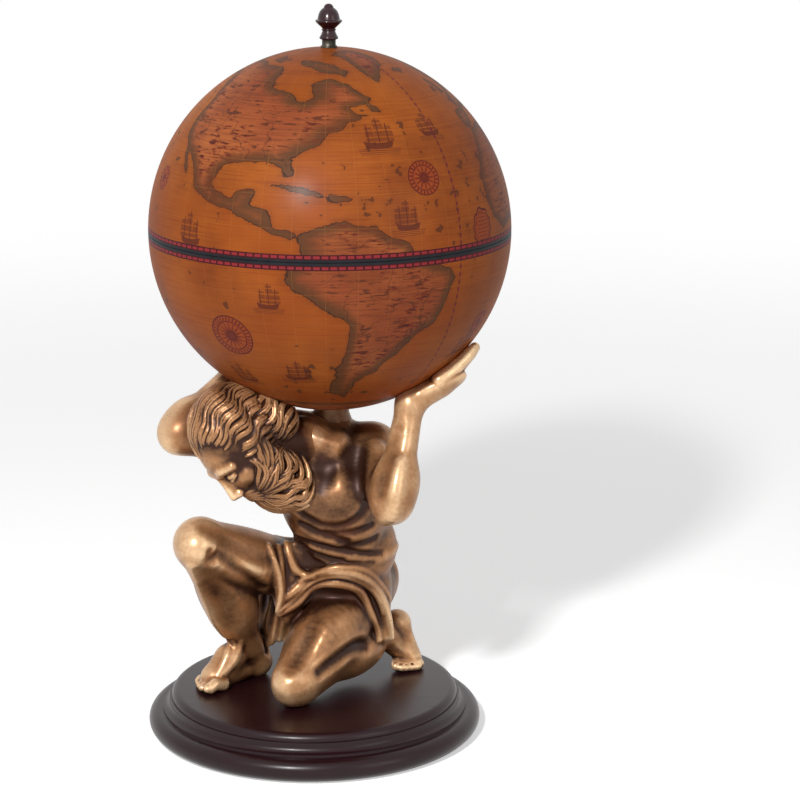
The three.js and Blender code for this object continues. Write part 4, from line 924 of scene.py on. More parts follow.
def muscle(start, end, radius):
    """A spindle between two places, thickest in the middle."""
    length = np.linalg.norm(end - start)
    along = unit(end - start)
    side = unit(np.cross(along, (0.3, 0.5, 0.8)))
    axes = np.array((side, np.cross(along, side), along))
    return oval((start + end) / 2, (radius, radius, length / 2 + radius / 2), axes)


def smooth_path(points, steps=4):
    """More points between the given ones, along a Catmull-Rom curve."""
    points = np.array(points, dtype=float)
    padded = np.vstack((2 * points[0] - points[1], points, 2 * points[-1] - points[-2]))
    path = []
    for a, b, c, d in zip(padded, padded[1:], padded[2:], padded[3:]):
        for t in np.arange(steps) / steps:
            path.append(b + (c - a) * t / 2 + (a - 2.5 * b + 2 * c - d / 2) * t**2
                        + (1.5 * (b - c) + (d - a) / 2) * t**3)
    return np.array([*path, points[-1]])


def eased(path, passes=3):
    """The path with its kinks smoothed out."""
    path = np.array(path)
    for _ in range(passes):
        path[1:-1] = (path[:-2] + 2 * path[1:-1] + path[2:]) / 4
    return path


def spread(values, count):
    """A few values drawn out over count places."""
    return np.interp(np.linspace(0, 1, count), np.linspace(0, 1, len(values)), values)


places = {
    name: heads(*place)
    for name, place in {
        "pelvis": (0.22, 0.35, 0.95), "waist": (0.32, 0.1, 1.42), "belly": (0.26, -0.06, 1.55),
        "ribs": (0.24, -0.12, 2.0), "right_chest": (-0.02, -0.4, 2.1), "left_chest": (0.36, -0.42, 2.1),
        "girdle": (0.12, -0.02, 2.4), "nape": (0.08, -0.04, 2.52), "neck": (-0.02, -0.16, 2.56),
        "skull": (-0.7, -0.6, 2.7), "seat": (0.18, 0.04, 2.62), "left_hip": (0.48, 0.44, 0.9),
        "right_hip": (-0.1, 0.34, 1.02), "left_shoulder": (0.58, 0.0, 2.42),
        "left_elbow": (0.78, -0.88, 2.14), "left_forearm": (0.86, -0.78, 2.5),
        "left_wrist": (0.96, -0.6, 3.06), "right_shoulder": (-0.42, 0.12, 2.46),
        "right_elbow": (-1.3, -0.14, 2.64), "right_forearm": (-1.12, 0.08, 2.8),
        "right_wrist": (-0.78, 0.5, 3.08), "right_knee": (-1.08, -0.56, 1.64),
        "right_calf_top": (-1.0, -0.36, 1.5), "right_calf_end": (-0.74, 0.06, 0.6),
        "right_ankle": (-0.7, 0.16, 0.34), "right_heel": (-0.6, 0.28, 0.14),
        "right_instep": (-0.86, 0.0, 0.26), "right_ball": (-1.0, -0.12, 0.1),
        "left_knee": (-0.15, -0.58, 0.24), "left_calf_top": (0.1, -0.28, 0.32),
        "left_calf_end": (0.58, 0.3, 0.36), "left_ankle": (0.7, 0.42, 0.36),
        "left_heel": (0.83, 0.6, 0.44), "left_ball": (0.96, 0.48, 0.1), "apron": (-0.25, -0.14, 1.1),
        "cloth_side": (0.62, 0.1, 1.0), "cloth_end": (0.7, 0.1, 0.48),
        "cloth_back": (-0.3, 0.42, 0.92), "cloth_tail": (-0.4, 0.42, 0.42),
        "scruff": (-0.2, -0.06, 2.66),
    }.items()
}
globe_centre = np.array(globe_middle)


def off_globe(point, depth):
    """The point, moved to lie that far outside the globe."""
    return globe_centre + unit(point - globe_centre) * (globe_radius + depth)


places["left_wrist"] = off_globe(places["left_wrist"], 0.112 * head_height)
places["right_wrist"] = off_globe(places["right_wrist"], 0.155 * head_height)
body_cell = 0.0015  # the spacing of the grid's points
body_clay = Clay(heads(-1.62, -1.2, -0.02), heads(1.72, 1.3, 3.75), body_cell)


def mould(form, blend, carve=False):
    """Presses a form into the body's clay. The blend is in heads."""
    body_clay.press(form, blend * head_height, carve)


def build_up(blend, ovals=(), tapers=(), muscles=()):
    """Presses big forms between named places into the clay. Sizes are in heads."""
    for at, half in ovals:
        mould(oval(places[at], np.array(half) * head_height), blend)
    for start, end, first, last in tapers:
        ends = (places[start], places[end])
        mould(rope(ends, (first * head_height, last * head_height)), blend)
    for start, end, radius in muscles:
        mould(muscle(places[start], places[end], radius * head_height), blend)


build_up(
    0.14,
    ovals=[
        ("pelvis", (0.55, 0.46, 0.42)), ("waist", (0.51, 0.4, 0.5)), ("belly", (0.3, 0.26, 0.36)),
        ("ribs", (0.56, 0.44, 0.58)), ("right_chest", (0.27, 0.16, 0.22)),
        ("left_chest", (0.27, 0.16, 0.22)), ("girdle", (0.6, 0.36, 0.3)),
        ("left_hip", (0.32, 0.34, 0.38)), ("right_hip", (0.34, 0.36, 0.36)),
        ("apron", (0.16, 0.1, 0.42)), ("scruff", (0.22, 0.2, 0.2)),
    ],
    tapers=[
        ("nape", "seat", 0.34, 0.22), ("girdle", "left_shoulder", 0.3, 0.2),
        ("girdle", "right_shoulder", 0.3, 0.2), ("nape", "neck", 0.28, 0.24),
        ("cloth_side", "cloth_end", 0.12, 0.08),
    ],
)
build_up(0.06, tapers=[("cloth_back", "cloth_tail", 0.27, 0.21)])
tail = places["cloth_tail"]
tail_hollow = (tail - (0, 0, 0.3 * head_height), tail + (0, 0, 0.06 * head_height))
mould(rope(tail_hollow, (0.2 * head_height, 0.12 * head_height)), 0.03, carve=True)
build_up(
    0.05,
    ovals=[("left_heel", (0.14, 0.15, 0.13)), ("right_heel", (0.15, 0.16, 0.15))],
    tapers=[
        ("left_hip", "left_knee", 0.3, 0.25), ("left_knee", "left_ankle", 0.23, 0.12),
        ("left_ankle", "left_ball", 0.13, 0.1), ("left_heel", "left_ball", 0.12, 0.12),
        ("right_hip", "right_knee", 0.28, 0.26), ("right_knee", "right_ankle", 0.25, 0.12),
        ("right_ankle", "right_instep", 0.13, 0.13), ("right_instep", "right_ball", 0.15, 0.13),
        ("right_heel", "right_ball", 0.13, 0.13), ("right_calf_end", "right_heel", 0.15, 0.15),
    ],
    muscles=[
        ("left_hip", "left_knee", 0.36), ("left_calf_top", "left_calf_end", 0.27),
        ("right_hip", "right_knee", 0.3), ("right_calf_top", "right_calf_end", 0.29),
    ],
)
build_up(
    0.09,
    ovals=[("left_shoulder", (0.29, 0.29, 0.29)), ("right_shoulder", (0.28, 0.28, 0.28))],
    tapers=[
        ("left_shoulder", "left_elbow", 0.25, 0.19), ("left_elbow", "left_wrist", 0.18, 0.13),
        ("right_shoulder", "right_elbow", 0.25, 0.2), ("right_elbow", "right_wrist", 0.19, 0.13),
    ],
    muscles=[("left_elbow", "left_forearm", 0.23), ("right_elbow", "right_forearm", 0.24)],
)


def draw(lines, radius, blend, carve=False, lift=0.0):
    """Rolls of clay, or grooves, along lines of places in heads that are laid on the skin."""
    for line in lines:
        path = smooth_path([heads(*place) for place in line])
        path = eased(body_clay.on_skin(path, lift * head_height))
        taper = np.sin(np.linspace(0.25, math.pi - 0.25, len(path))) ** 0.5
        mould(rope(path, radius * head_height * taper), blend, carve)


# Muscles and sinews are laid on first, then the valleys between them and the creases of the belly.
draw([
    [(-1.16, -0.8, 1.76), (-1.13, -0.82, 1.66), (-1.08, -0.8, 1.56)],
    [(-0.28, -0.8, 0.32), (-0.27, -0.78, 0.2), (-0.25, -0.76, 0.1)],
    [(-0.86, -0.7, 1.5), (-0.6, -0.5, 1.34), (-0.45, -0.35, 1.25)],
    [(0.05, -0.55, 0.66), (0.25, -0.4, 0.8), (0.42, -0.25, 0.86)],
], 0.13, 0.12, lift=-0.09)
draw([
    [(-1.14, -0.78, 1.5), (-1.14, -0.68, 1.3), (-1.05, -0.42, 0.9), (-0.92, -0.1, 0.52)],
    [(-0.04, -0.46, 2.74), (0.06, -0.43, 2.67), (0.13, -0.42, 2.57)],
    [(0.3, -0.32, 2.64), (0.24, -0.37, 2.58), (0.19, -0.42, 2.5)],
    [(0.7, -1.0, 1.98), (0.78, -1.06, 2.1), (0.82, -1.05, 2.3), (0.86, -0.98, 2.6)],
    [(0.62, -0.3, 2.56), (0.66, -0.34, 2.4), (0.66, -0.42, 2.24)],
], 0.06, 0.1, lift=-0.025)
draw([
    [(-0.83, 0.0, 0.52), (-0.86, -0.1, 0.34), (-0.95, -0.26, 0.18)],
    [(-0.79, -0.02, 0.52), (-0.79, -0.1, 0.33), (-0.88, -0.28, 0.17)],
    [(-0.74, -0.02, 0.52), (-0.74, -0.08, 0.33), (-0.82, -0.26, 0.16)],
], 0.024, 0.04, lift=-0.008)
draw([
    [(-0.97, -0.8, 1.62), (-0.95, -0.78, 1.54), (-0.86, -0.73, 1.58), (-0.72, -0.62, 1.4),
     (-0.58, -0.47, 1.21), (-0.5, -0.35, 1.05)],
    [(0.08, -0.69, 0.37), (0.28, -0.5, 0.46), (0.44, -0.29, 0.51), (0.53, -0.16, 0.45)],
], 0.05, 0.09, carve=True, lift=0.005)
draw([
    [(-1.0, -0.72, 1.84), (-0.8, -0.62, 1.66), (-0.62, -0.52, 1.5), (-0.46, -0.38, 1.42)],
    [(-1.0, -0.62, 1.2), (-0.88, -0.44, 1.0), (-0.8, -0.3, 0.74)],
    [(0.16, -0.43, 2.54), (0.15, -0.45, 2.44), (0.15, -0.5, 2.32), (0.12, -0.55, 2.2)],
    [(0.42, -0.4, 2.5), (0.46, -0.44, 2.34), (0.46, -0.52, 2.18)],
    [(0.7, -0.98, 2.3), (0.74, -0.9, 2.56), (0.84, -0.78, 2.84)],
    [(0.0, -0.46, 0.84), (-0.1, -0.6, 0.6), (-0.2, -0.74, 0.4)],
    [(0.18, 0.6, 2.3), (0.22, 0.62, 1.95), (0.26, 0.6, 1.6), (0.26, 0.62, 1.4)],
], 0.07, 0.13, carve=True, lift=0.055)
draw([
    [(-0.12, -0.5, 1.97), (-0.06, -0.52, 1.9), (0.03, -0.52, 1.84), (0.12, -0.52, 1.8),
     (0.28, -0.53, 1.8), (0.38, -0.53, 1.84), (0.48, -0.53, 1.94), (0.52, -0.52, 2.06)],
    [(0.16, -0.49, 1.72), (0.33, -0.48, 1.72), (0.45, -0.47, 1.73), (0.58, -0.42, 1.78)],
    [(0.29, -0.44, 1.61), (0.37, -0.4, 1.57), (0.47, -0.36, 1.57), (0.63, -0.29, 1.61)],
    [(0.33, -0.37, 1.52), (0.43, -0.34, 1.47), (0.53, -0.28, 1.43), (0.68, -0.19, 1.41)],
    [(-0.13, -0.26, 1.6), (-0.02, -0.34, 1.59), (0.13, -0.39, 1.56), (0.27, -0.39, 1.51),
     (0.39, -0.35, 1.47)],
    [(-0.12, -0.23, 1.5), (0.02, -0.29, 1.45), (0.17, -0.33, 1.42), (0.37, -0.32, 1.39),
     (0.6, -0.25, 1.36)],
    [(-0.1, -0.45, 1.8), (0.06, -0.48, 1.72), (0.18, -0.47, 1.68), (0.34, -0.45, 1.62)],
    [(-0.06, -0.25, 1.4), (-0.03, -0.3, 1.33), (0.06, -0.33, 1.31)],
], 0.026, 0.075, carve=True, lift=0.006)
draw([
    [(-0.02, -0.32, 1.53), (0.16, -0.38, 1.49), (0.36, -0.36, 1.45), (0.5, -0.3, 1.41)],
], 0.03, 0.05, lift=-0.012)

# The cloth has two rolled hems over the left thigh, pleats at the right hip, a waistband, and folds
# that hang over the seat.
draw([
    [(-0.38, -0.32, 0.8), (-0.32, -0.28, 0.95), (-0.15, -0.23, 1.07), (0.02, -0.26, 1.21),
     (0.23, -0.34, 1.28), (0.45, -0.28, 1.23), (0.59, -0.18, 1.09), (0.7, -0.06, 0.9),
     (0.75, 0.03, 0.68), (0.76, 0.08, 0.46)],
    [(-0.32, -0.3, 0.8), (-0.16, -0.2, 0.92), (-0.02, -0.22, 1.02), (0.12, -0.25, 1.11),
     (0.29, -0.25, 1.13), (0.44, -0.22, 1.05), (0.56, -0.14, 0.88), (0.63, -0.06, 0.66),
     (0.66, -0.01, 0.46)],
], 0.055, 0.035, lift=0.006)
draw([
    [(-0.4, -0.3, 1.56), (-0.34, -0.34, 1.31), (-0.34, -0.3, 1.12), (-0.37, -0.3, 0.94),
     (-0.39, -0.3, 0.8)],
    [(-0.26, -0.14, 1.5), (-0.22, -0.22, 1.37), (-0.15, -0.24, 1.25), (0.0, -0.28, 1.2)],
    [(-0.32, -0.22, 1.53), (-0.28, -0.3, 1.3), (-0.28, -0.28, 1.1), (-0.36, -0.3, 0.84)],
], 0.036, 0.04)
draw([
    [(-0.3, -0.3, 0.86), (-0.15, -0.24, 1.0), (0.05, -0.28, 1.14), (0.25, -0.36, 1.2),
     (0.44, -0.3, 1.14), (0.6, -0.16, 0.98), (0.69, -0.02, 0.74)],
    [(-0.12, -0.22, 1.14), (0.05, -0.32, 1.28), (0.25, -0.38, 1.35), (0.5, -0.28, 1.3),
     (0.68, -0.1, 1.1), (0.8, 0.08, 0.86)],
    [(-0.36, -0.34, 1.42), (-0.31, -0.33, 1.2), (-0.32, -0.3, 1.0), (-0.36, -0.3, 0.86)],
], 0.02, 0.03)
draw([
    [(0.8, 0.3, 1.5), (0.55, 0.52, 1.5), (0.2, 0.6, 1.48), (-0.15, 0.5, 1.5), (-0.38, 0.2, 1.55)],
    [(0.8, 0.1, 1.42), (0.62, -0.14, 1.38), (0.36, -0.32, 1.4)],
], 0.04, 0.06, lift=-0.01)
draw([
    [(0.78, 0.42, 1.38), (0.82, 0.48, 1.1), (0.72, 0.56, 0.78), (0.6, 0.5, 0.6)],
    [(0.62, 0.7, 1.38), (0.56, 0.8, 1.1), (0.56, 0.76, 0.8), (0.44, 0.66, 0.6)],
    [(0.34, 0.8, 1.36), (0.24, 0.88, 1.05), (0.3, 0.8, 0.75), (0.22, 0.66, 0.6)],
    [(0.02, 0.76, 1.36), (-0.08, 0.82, 1.08), (0.0, 0.74, 0.78), (-0.04, 0.62, 0.62)],
    [(-0.3, 0.5, 1.42), (-0.26, 0.66, 1.2), (-0.32, 0.72, 0.95), (-0.28, 0.68, 0.5)],
    [(-0.46, 0.62, 1.05), (-0.44, 0.68, 0.75), (-0.48, 0.66, 0.42)],
    [(-0.6, 0.34, 0.9), (-0.64, 0.4, 0.6), (-0.6, 0.42, 0.35)],
], 0.045, 0.12, lift=-0.004)
draw([
    [(0.7, 0.58, 1.36), (0.7, 0.66, 1.08), (0.64, 0.7, 0.8)],
    [(0.48, 0.78, 1.36), (0.4, 0.86, 1.08), (0.44, 0.8, 0.78)],
    [(0.18, 0.8, 1.36), (0.08, 0.88, 1.06), (0.15, 0.8, 0.76)],
    [(-0.14, 0.66, 1.38), (-0.18, 0.78, 1.1), (-0.14, 0.74, 0.8)],
    [(-0.4, 0.66, 1.1), (-0.36, 0.72, 0.8), (-0.38, 0.68, 0.42)],
    [(-0.54, 0.52, 0.95), (-0.56, 0.58, 0.65), (-0.56, 0.56, 0.36)],
], 0.045, 0.1, carve=True, lift=0.02)
draw([
    [(-0.52, 0.2, 0.84), (-0.56, 0.2, 0.55), (-0.55, 0.22, 0.28)],
    [(-0.43, 0.14, 0.84), (-0.46, 0.15, 0.55), (-0.46, 0.18, 0.28)],
    [(-0.33, 0.14, 0.84), (-0.35, 0.15, 0.55), (-0.38, 0.18, 0.28)],
    [(-0.22, 0.16, 0.84), (-0.25, 0.18, 0.55), (-0.3, 0.2, 0.28)],
], 0.03, 0.05, carve=True, lift=0.004)



# Palms and fingers lie on the globe's skin, and toes on the plinth.
def hand(wrist, reach, side):
    """A hand laid flat on the globe, with its fingers a little spread."""
    out = unit(wrist - globe_centre)
    reach = unit(reach - out * (reach @ out))
    across = np.cross(out, reach)

    def laid(along, aside, depth):
        place = wrist + (reach * along + across * aside * side) * head_height
        return off_globe(place, depth * head_height)

    palm_middle = laid(0.33, 0, 0.1)
    palm_half = np.array((0.2, 0.29, 0.1)) * head_height
    mould(oval(palm_middle, palm_half, np.array((across, reach, out))), 0.06)
    mould(rope((wrist, palm_middle), (0.13 * head_height, 0.1 * head_height)), 0.09)
    knuckles = 0.34
    finger_widths = np.array((0.075, 0.076, 0.07, 0.072, 0.062, 0.062, 0.05)) * head_height
    fingers = ((-0.15, 0.84), (-0.05, 0.9), (0.05, 0.92), (0.15, 0.87))  # [aside, reach] in heads
    for aside, length in fingers:
        steps = np.linspace(knuckles, length, len(finger_widths))
        finger = [laid(a, aside * (1.15 - 0.33 * a), 0.085 - 0.03 * a) for a in steps]
        mould(rope(finger, finger_widths), 0.012)
    thumb = [laid(a, b, 0.07) for a, b in ((0.1, 0.12), (0.26, 0.22), (0.38, 0.27), (0.5, 0.28))]
    mould(rope(thumb, spread((0.085, 0.07, 0.055), 4) * head_height), 0.03)


hand(places["left_wrist"], np.array((0.8, 0.27, 0.54)), -1)
hand(places["right_wrist"], np.array((0.35, 0.79, 0.04)), 1)


toe_shapes = (  # [aside, length, thickness] in heads, from the big toe
    (0.13, 0.2, 0.066), (0.04, 0.2, 0.055), (-0.03, 0.17, 0.05), (-0.1, 0.13, 0.048),
    (-0.16, 0.09, 0.045),
)


def toes(ball, forward, side, together=1.0):
    """Five toes from the ball of a foot, each arched and with its nail pressed flat."""
    forward = unit(forward)
    across = np.cross((0, 0, 1), forward) * side * together
    for aside, length, thick in toe_shapes:
        line = []
        for t in (0, 0.5, 0.8, 1):
            point = ball + (across * aside + forward * length * t) * head_height
            point[2] = plinth_top + thick * (1.35 if t == 0.5 else 1) * head_height
            line.append(point)
        radii = np.array((1, 0.95, 0.88, 0.62)) * thick * head_height
        mould(rope(line, radii), 0.03)
        nail = np.array(line[-1]) + (0, 0, thick * 0.68 * head_height)
        nail_half = np.array((0.42, 0.42, 0.1)) * thick * head_height
        mould(oval(nail, nail_half), 0.004, carve=True)


toes(places["left_ball"], (-0.3, -0.95, 0), -1, 0.7)
toes(places["right_ball"], (-0.72, -0.69, 0), 1)

# The feet and the knee are cut flat for the plinth, the hands and the nape are cut to the globe,
# and the nape also to its saddle.
fit_gap = 0.0003
crisp = 0.0002  # the fillet of a clean cut
sole_level = plinth_top + fit_gap
seat_level = heads(0, 0, 2.76)[2]
saddle_radius, saddle_flare, saddle_gap = 0.021, 0.003, 0.0005
saddle_room_radius = saddle_radius + saddle_flare + saddle_gap


def flat_ground(x, y, z, margin):
    return z - sole_level + 0 * (x + y)


def saddle_room(x, y, z, margin):
    return np.maximum(np.sqrt((x - globe_x) ** 2 + y**2) - saddle_room_radius, seat_level - z)


ground_corners = (np.array((-1.0, -1.0, plinth_top - 0.1)), np.array((1.0, 1.0, sole_level)))
body_clay.press((*ground_corners, flat_ground), crisp, carve=True)
globe_hollow = oval(globe_centre, np.full(3, globe_radius + fit_gap))
body_clay.press(globe_hollow, crisp, carve=True)
seat_middle = np.array((globe_x, 0, seat_level))
saddle_corners = (seat_middle - (0.03, 0.03, 0), seat_middle + (0.03, 0.03, globe_z - seat_level))
body_clay.press((*saddle_corners, saddle_room), crisp, carve=True)

# The finish is bronze paint over a dark ground, rubbed back where the cast stands proud, as the
# reliefs say. A painted shade darkens the chest under the head, and another darkens the hair, most
# of all in the gaps between its locks, on top of the patina in their hollows.
bronze = Paint("aged_bronze", Metallic=0.42, Specular_IOR_Level=0.35)
reliefs = [bronze.node("Attribute", (), 2, attribute_name=relief) for relief in relief_widths]
fine, broad, form, limb = reliefs
patina = bronze.noise(26, 5, roughness=0.6) - 0.5
clouds = bronze.noise(9, 3) - 0.5
stipple = bronze.noise(240, 3) - 0.5
# Painted shade: the chest under the head and the globe is darkened.
painted_chest_shade = 1 - bronze.distance(heads(0.2, -0.5, 1.95)).ramp(0.05, 0.13)
face_middle = places["skull"] + np.array((-0.24, -0.24, -0.41)) * head_height
# Painted shade in the hair, away from the face: darker overall, darkest in the gaps between locks.
hair_shade_mask = 1 - bronze.distance(places["skull"]).ramp(0.075, 0.095)
hair_shade_mask = hair_shade_mask * bronze.distance(face_middle).ramp(0.032, 0.052)
# How far the paint is rubbed back, less the painted shade on the chest and in the hair.
wear_and_painted_shade = (limb - 0.045) * 3.4 + form * 3 + broad.least(0.06) * 3.5 + fine.least(0.02) * 6
wear_and_painted_shade = wear_and_painted_shade - painted_chest_shade * 0.28
wear_and_painted_shade = wear_and_painted_shade + hair_shade_mask * (fine.least(0.04) * 6 - 0.62)
wear_and_painted_shade = wear_and_painted_shade + patina * 1.2 + clouds * 0.65 + stipple * 0.3
bronze_colour = bronze.colour_mix(wear_and_painted_shade.ramp(-0.6, 0.35), srgb(52, 26, 14), srgb(176, 126, 84))
bronze_colour = bronze.colour_mix(wear_and_painted_shade.ramp(0.12, 1.0), bronze_colour, srgb(250, 210, 164))
red_patches = bronze.noise(13, 3).ramp(0.5, 0.72) * 0.4
bronze_colour = bronze.colour_mix(red_patches, bronze_colour, srgb(128, 74, 50))
bronze.feed(Base_Color=bronze_colour, Roughness=0.42 - wear_and_painted_shade.ramp(-0.5, 0.9) * 0.14 + stipple * 0.1)
bronze.bump(stipple + patina * 0.8, 0.25, 0.0005)
body = body_clay.cast("bronze_body")
body_nodes = ["figure_trunk", "figure_left_leg", "figure_right_leg"]
body_nodes += ["figure_left_arm", "figure_right_arm"]
finished(body, "root", "figure_bronze", bronze, *body_nodes)

# Saddle: a short bronze collar that sits on the nape. Its top is hollowed to the globe, which is
# bolted down through it.
hollow_radii = np.linspace(saddle_radius, bolt_hole, 6)
saddle_profile = [
    (bolt_hole, seat_level),
    (saddle_radius + saddle_flare, seat_level),
    (saddle_radius, seat_level + 0.008),
    *[(r, globe_z - math.sqrt((globe_radius + fit_gap) ** 2 - r**2)) for r in hollow_radii],
]
saddle = turn("globe_saddle_collar", saddle_profile, steps=96, centre=(globe_x, 0), closed=True)
finished(saddle, "root", "figure_bronze", bronze, "globe_saddle")

# Head: turned down and to the side under the load, with swept-back wavy hair and a full beard, and
# a calm, ordinary face on the proportions of the drawing manuals. It is cast and glued on.
skull = places["skull"]
head_forward = unit((-0.45, -0.45, -0.77))
head_left = unit(np.cross((-0.75, -0.15, 0.6), head_forward))
head_up = np.cross(head_forward, head_left)
head_axes = np.array((head_left, head_forward, head_up))


def on_head(*place):
    """A place from heads to the head's left, front and crown from the middle of the skull."""
    return skull + np.array(place) @ head_axes * head_height


head_cell = 0.0009
head_clay = Clay(skull - 0.1, skull + 0.112, head_cell)


def add_oval(place, half, blend, carve=False):
    shape = oval(on_head(*place), np.array(half) * head_height, head_axes)
    head_clay.press(shape, blend * head_height, carve)


def add_rope(line, radii, blend, carve=False):
    path = smooth_path([on_head(*place) for place in line], 3)
    widths = spread(radii, len(path)) * head_height
    head_clay.press(rope(path, widths), blend * head_height, carve)


add_oval((0, 0, 0), (0.34, 0.42, 0.4), 0.05)
add_oval((0, 0.12, -0.36), (0.27, 0.29, 0.28), 0.08)
add_oval((0, 0.26, -0.2), (0.2, 0.155, 0.24), 0.08)
add_oval((0, 0.13, -0.62), (0.24, 0.22, 0.24), 0.08)
neck_ends = (on_head(0, -0.12, -0.25), places["neck"])
head_clay.press(rope(neck_ends, (0.24 * head_height, 0.27 * head_height)), 0.1 * head_height)
for side in (-1, 1):
    add_oval((side * 0.19, 0.27, -0.19), (0.1, 0.1, 0.09), 0.07)
    add_oval((side * 0.145, 0.44, -0.075), (0.09, 0.075, 0.055), 0.06, carve=True)
    brow = [(side * 0.05, 0.4, 0.0), (side * 0.14, 0.39, 0.028), (side * 0.24, 0.315, -0.015)]
    add_rope(brow, (0.022, 0.032, 0.018), 0.07)
    add_oval((side * 0.144, 0.345, -0.078), (0.07, 0.064, 0.048), 0.016)
    lower_eyelid = ((0.076, 0.385, -0.1), (0.144, 0.408, -0.114), (0.215, 0.355, -0.097))
    eyelid_crease = ((0.076, 0.385, -0.05), (0.144, 0.404, -0.036), (0.215, 0.355, -0.055))
    lower_eyelid = [(side * x, y, z) for x, y, z in lower_eyelid]
    eyelid_crease = [(side * x, y, z) for x, y, z in eyelid_crease]
    add_rope(lower_eyelid, (0.007, 0.011, 0.007), 0.012)
    add_rope(eyelid_crease, (0.006, 0.008, 0.006), 0.012, carve=True)
    add_oval((side * 0.052, 0.445, -0.262), (0.034, 0.045, 0.032), 0.025)
    add_oval((side * 0.027, 0.467, -0.294), (0.014, 0.022, 0.012), 0.008, carve=True)
add_rope([(0, 0.37, 0.02), (0, 0.405, -0.12), (0, 0.44, -0.245)], (0.042, 0.05, 0.064), 0.04)
add_rope([(0, 0.4, 0.0), (0, 0.456, -0.13), (0, 0.5, -0.24)], (0.026, 0.027, 0.037), 0.03)
upper_lip = [(-0.095, 0.385, -0.375), (0, 0.425, -0.36), (0.095, 0.385, -0.375)]
lower_lip = [(-0.085, 0.38, -0.41), (0, 0.42, -0.415), (0.085, 0.38, -0.41)]
add_rope(upper_lip, (0.012, 0.024, 0.012), 0.02)
add_rope(lower_lip, (0.012, 0.03, 0.012), 0.02)
cap_middle, cap_half = np.array((0, -0.07, 0.07)), np.array((0.382, 0.445, 0.43))
add_oval(cap_middle, cap_half, 0.012)
nape_x, nape_y, nape_z = 0.05, -0.32, -0.1
add_oval((nape_x, nape_y, nape_z), (0.32, 0.28, 0.32), 0.06)


def add_lock(line, widths, middle, crest=(-0.9, 0.0, 0.9)):
    """A lock of hair: a round body with finer strands along its crest."""
    line = eased(line, 1)
    widths = spread(widths, len(line)) * head_height
    head_clay.press(rope(line, widths), 0.005 * head_height)
    along = np.gradient(line, axis=0)
    across = unit(np.cross(along, line - middle))
    out = unit(np.cross(across, along))
    for tilt in crest:
        lean = across * math.sin(tilt) + out * math.cos(tilt)
        strand = rope(line + lean * widths[:, None] * 0.8, widths * 0.4)
        head_clay.press(strand, 0.003 * head_height)


def on_cap(from_front, from_crown, lift):
    """A place on the cap of hair, from two turns and a lift off it."""
    ring = math.sin(from_front)
    way = (ring * math.sin(from_crown), math.cos(from_front), ring * math.cos(from_crown))
    return on_head(*(cap_middle + (cap_half + lift) * way))


# The hair runs back from the hairline in waves that keep step, and finer strands lie over them.
dice = np.random.default_rng(7)
hair_widths = np.array((0.018, 0.028, 0.032, 0.034, 0.036, 0.036, 0.034, 0.024))
for lock_count, step, size, rise in ((35, 0.0, 0.8, 0.0), (20, 0.06, 0.52, 0.012)):
    for i in range(lock_count):
        crown_turn = math.radians(256) * ((i + dice.uniform(-0.2, 0.2)) / (lock_count - 1) - 0.5)
        hairline = math.radians(12 + 42 * abs(math.sin(crown_turn)) ** 1.3)
        hairline += dice.uniform(-0.03, 0.03)
        phase = step + 0.8 * crown_turn + dice.uniform(-0.04, 0.04)
        wave, bounce = dice.uniform(0.09, 0.13), dice.uniform(0.006, 0.022)
        line = []
        for t in np.linspace(0, 1, 21):
            swing = 2 * math.pi * (2.7 * t + phase)
            sway = wave * math.sin(swing) * (0.45 + 0.55 * t)
            swell = rise + bounce * math.sin(swing + 1.2) - 0.03 * (1 - t) ** 8
            line.append(on_cap(hairline + (2.62 - hairline) * t, crown_turn + sway, swell))
        add_lock(line, hair_widths * (size * dice.uniform(0.75, 1.2)), skull)
for i in range(12):
    turn_angle = math.radians(-40 + 17 * i)
    line = []
    for t in np.linspace(0, 1, 13):
        tilt = math.radians(15 + 125 * t)
        sway = 0.14 * math.sin(2 * math.pi * (1.7 * t + i / 6))
        x = 0.32 * math.sin(tilt) * math.cos(turn_angle + sway)
        y = 0.28 * math.cos(tilt)
        z = -0.32 * math.sin(tilt) * math.sin(turn_angle + sway)
        line.append(on_head(nape_x + x, nape_y + y, nape_z + z))
    add_lock(line, (0.016, 0.03, 0.036, 0.034, 0.014), on_head(nape_x, nape_y, nape_z))

# The beard's strands sweep from the temples round the cheeks to the mouth, and curled locks fan
# out from the corners of the mouth over the jaw.
jaw_heights = (-0.98, -0.86, -0.7, -0.5, -0.3, -0.1, 0.1)
jaw_widths = (0.1, 0.19, 0.265, 0.295, 0.305, 0.325, 0.345)
jaw_fronts = (0.18, 0.28, 0.36, 0.4, 0.385, 0.36, 0.4)
beard_middle = on_head(0, 0.05, -0.45)


def on_jaw(angle, height, lift):
    """A place on the jaw, from an angle to the front in degrees and a height in heads."""
    width = np.interp(height, jaw_heights, jaw_widths) + lift
    front = np.interp(height, jaw_heights, jaw_fronts) + lift
    turned = math.radians(angle)
    return on_head(width * math.sin(turned), 0.02 + (front - 0.02) * math.cos(turned), height)


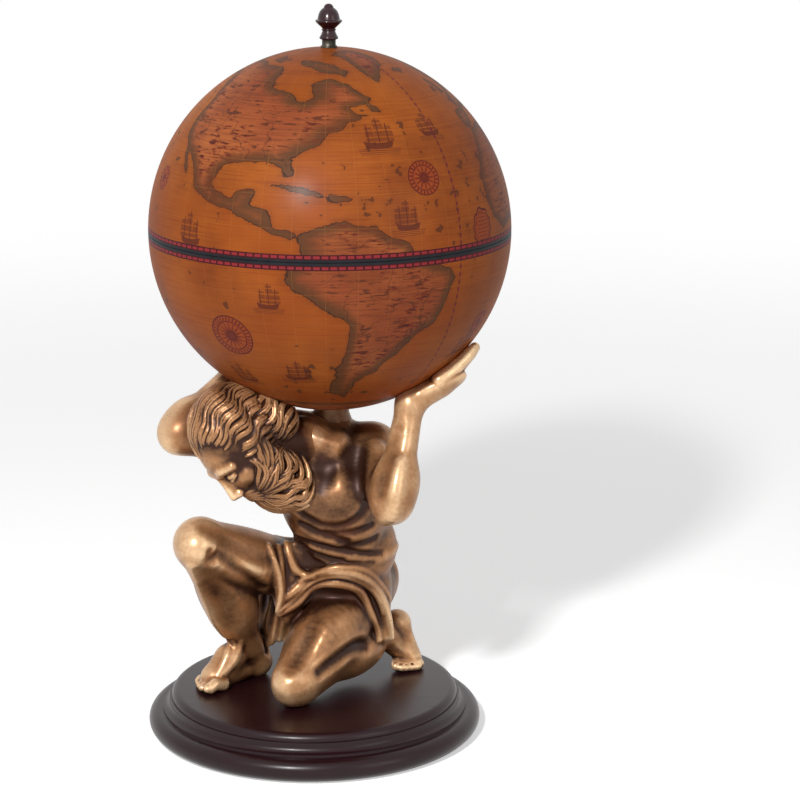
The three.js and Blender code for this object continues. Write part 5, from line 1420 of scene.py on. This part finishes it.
def fan_of_locks(side, count, first, last, start, reach, lift, size):
    """Locks that fan out from one corner of the mouth and curl at their tips."""
    for i in range(count):
        way = math.radians(first + (last - first) * i / (count - 1) + dice.uniform(-3, 3))
        far = reach * dice.uniform(0.9, 1.08) * (1 + 0.16 * math.sin(max(way, 0)))
        phase, curl = dice.uniform(0, 1), dice.uniform(0.35, 0.6)
        line = []
        for t in np.linspace(0, 1, 13):
            bent = way - curl * t**2 + 0.14 * math.sin(2 * math.pi * (1.3 * t + phase)) * (0.3 + t)
            along = start + (far - start) * t
            swell = lift + 0.018 * math.sin(math.pi * t) - 0.05 * t**5
            angle = side * (24 + 185 * along * math.cos(bent))
            line.append(on_jaw(angle, -0.4 - along * math.sin(bent), swell))
        thick = size * dice.uniform(0.8, 1.15)
        add_lock(line, np.array((0.014, 0.028, 0.034, 0.034, 0.028, 0.01)) * thick, beard_middle)


for side in (-1, 1):
    fan_of_locks(side, 12, -14, 104, 0.2, 0.5, -0.02, 1.0)
    fan_of_locks(side, 12, -30, 96, 0.03, 0.4, 0.006, 0.95)
    for i in range(8):
        first_sway = dice.uniform(0, 1)
        line = []
        for t in np.linspace(0, 1, 13):
            sway = math.sin(2 * math.pi * (1.4 * t + first_sway + i / 7))
            angle = 96 - 2.2 * i + (1 - t) * 4 * i - 64 * t**1.6 + 5.5 * i * t * (1 - t) + 2.5 * sway
            dip = 0.1 * math.sin(math.pi * t) * (0.35 + 0.09 * i)
            height = 0.08 - 0.46 * t**0.9 - 0.012 * i * t - dip
            line.append(on_jaw(side * angle, height, 0.016 + 0.006 * sway - 0.02 * t**4))
        add_lock(line, (0.012, 0.024, 0.027, 0.025, 0.02, 0.01), beard_middle, (-0.8, 0.8))
    for i in range(5):
        line = []
        for t in np.linspace(0, 1, 11):
            angle = 3 + 40 * t + 5 * math.sin(2 * math.pi * (t + 0.1 * i)) * t
            height = -0.31 - 0.02 * i - (0.06 + 0.05 * i) * t**1.7
            line.append(on_jaw(side * angle, height, 0.05 - 0.05 * t))
        add_lock(line, (0.008, 0.016, 0.019, 0.018, 0.008), beard_middle, (-0.8, 0.8))
for i in range(9):
    line = []
    for t in np.linspace(0, 1, 11):
        sway = 5 * math.sin(2 * math.pi * (1.2 * t + 0.37 * i)) * (0.3 + t)
        angle = (i - 4) * (3.5 + 5.5 * t) + sway
        swell = 0.012 + 0.02 * math.sin(math.pi * t) - 0.06 * t**4
        line.append(on_jaw(angle, -0.44 - 0.46 * t, swell))
    add_lock(line, (0.014, 0.026, 0.032, 0.03, 0.01), beard_middle)
head_clay.press(globe_hollow, crisp, carve=True)
head = head_clay.cast("bronze_head")
finished(head, "root", "figure_bronze", bronze, "figure_head")
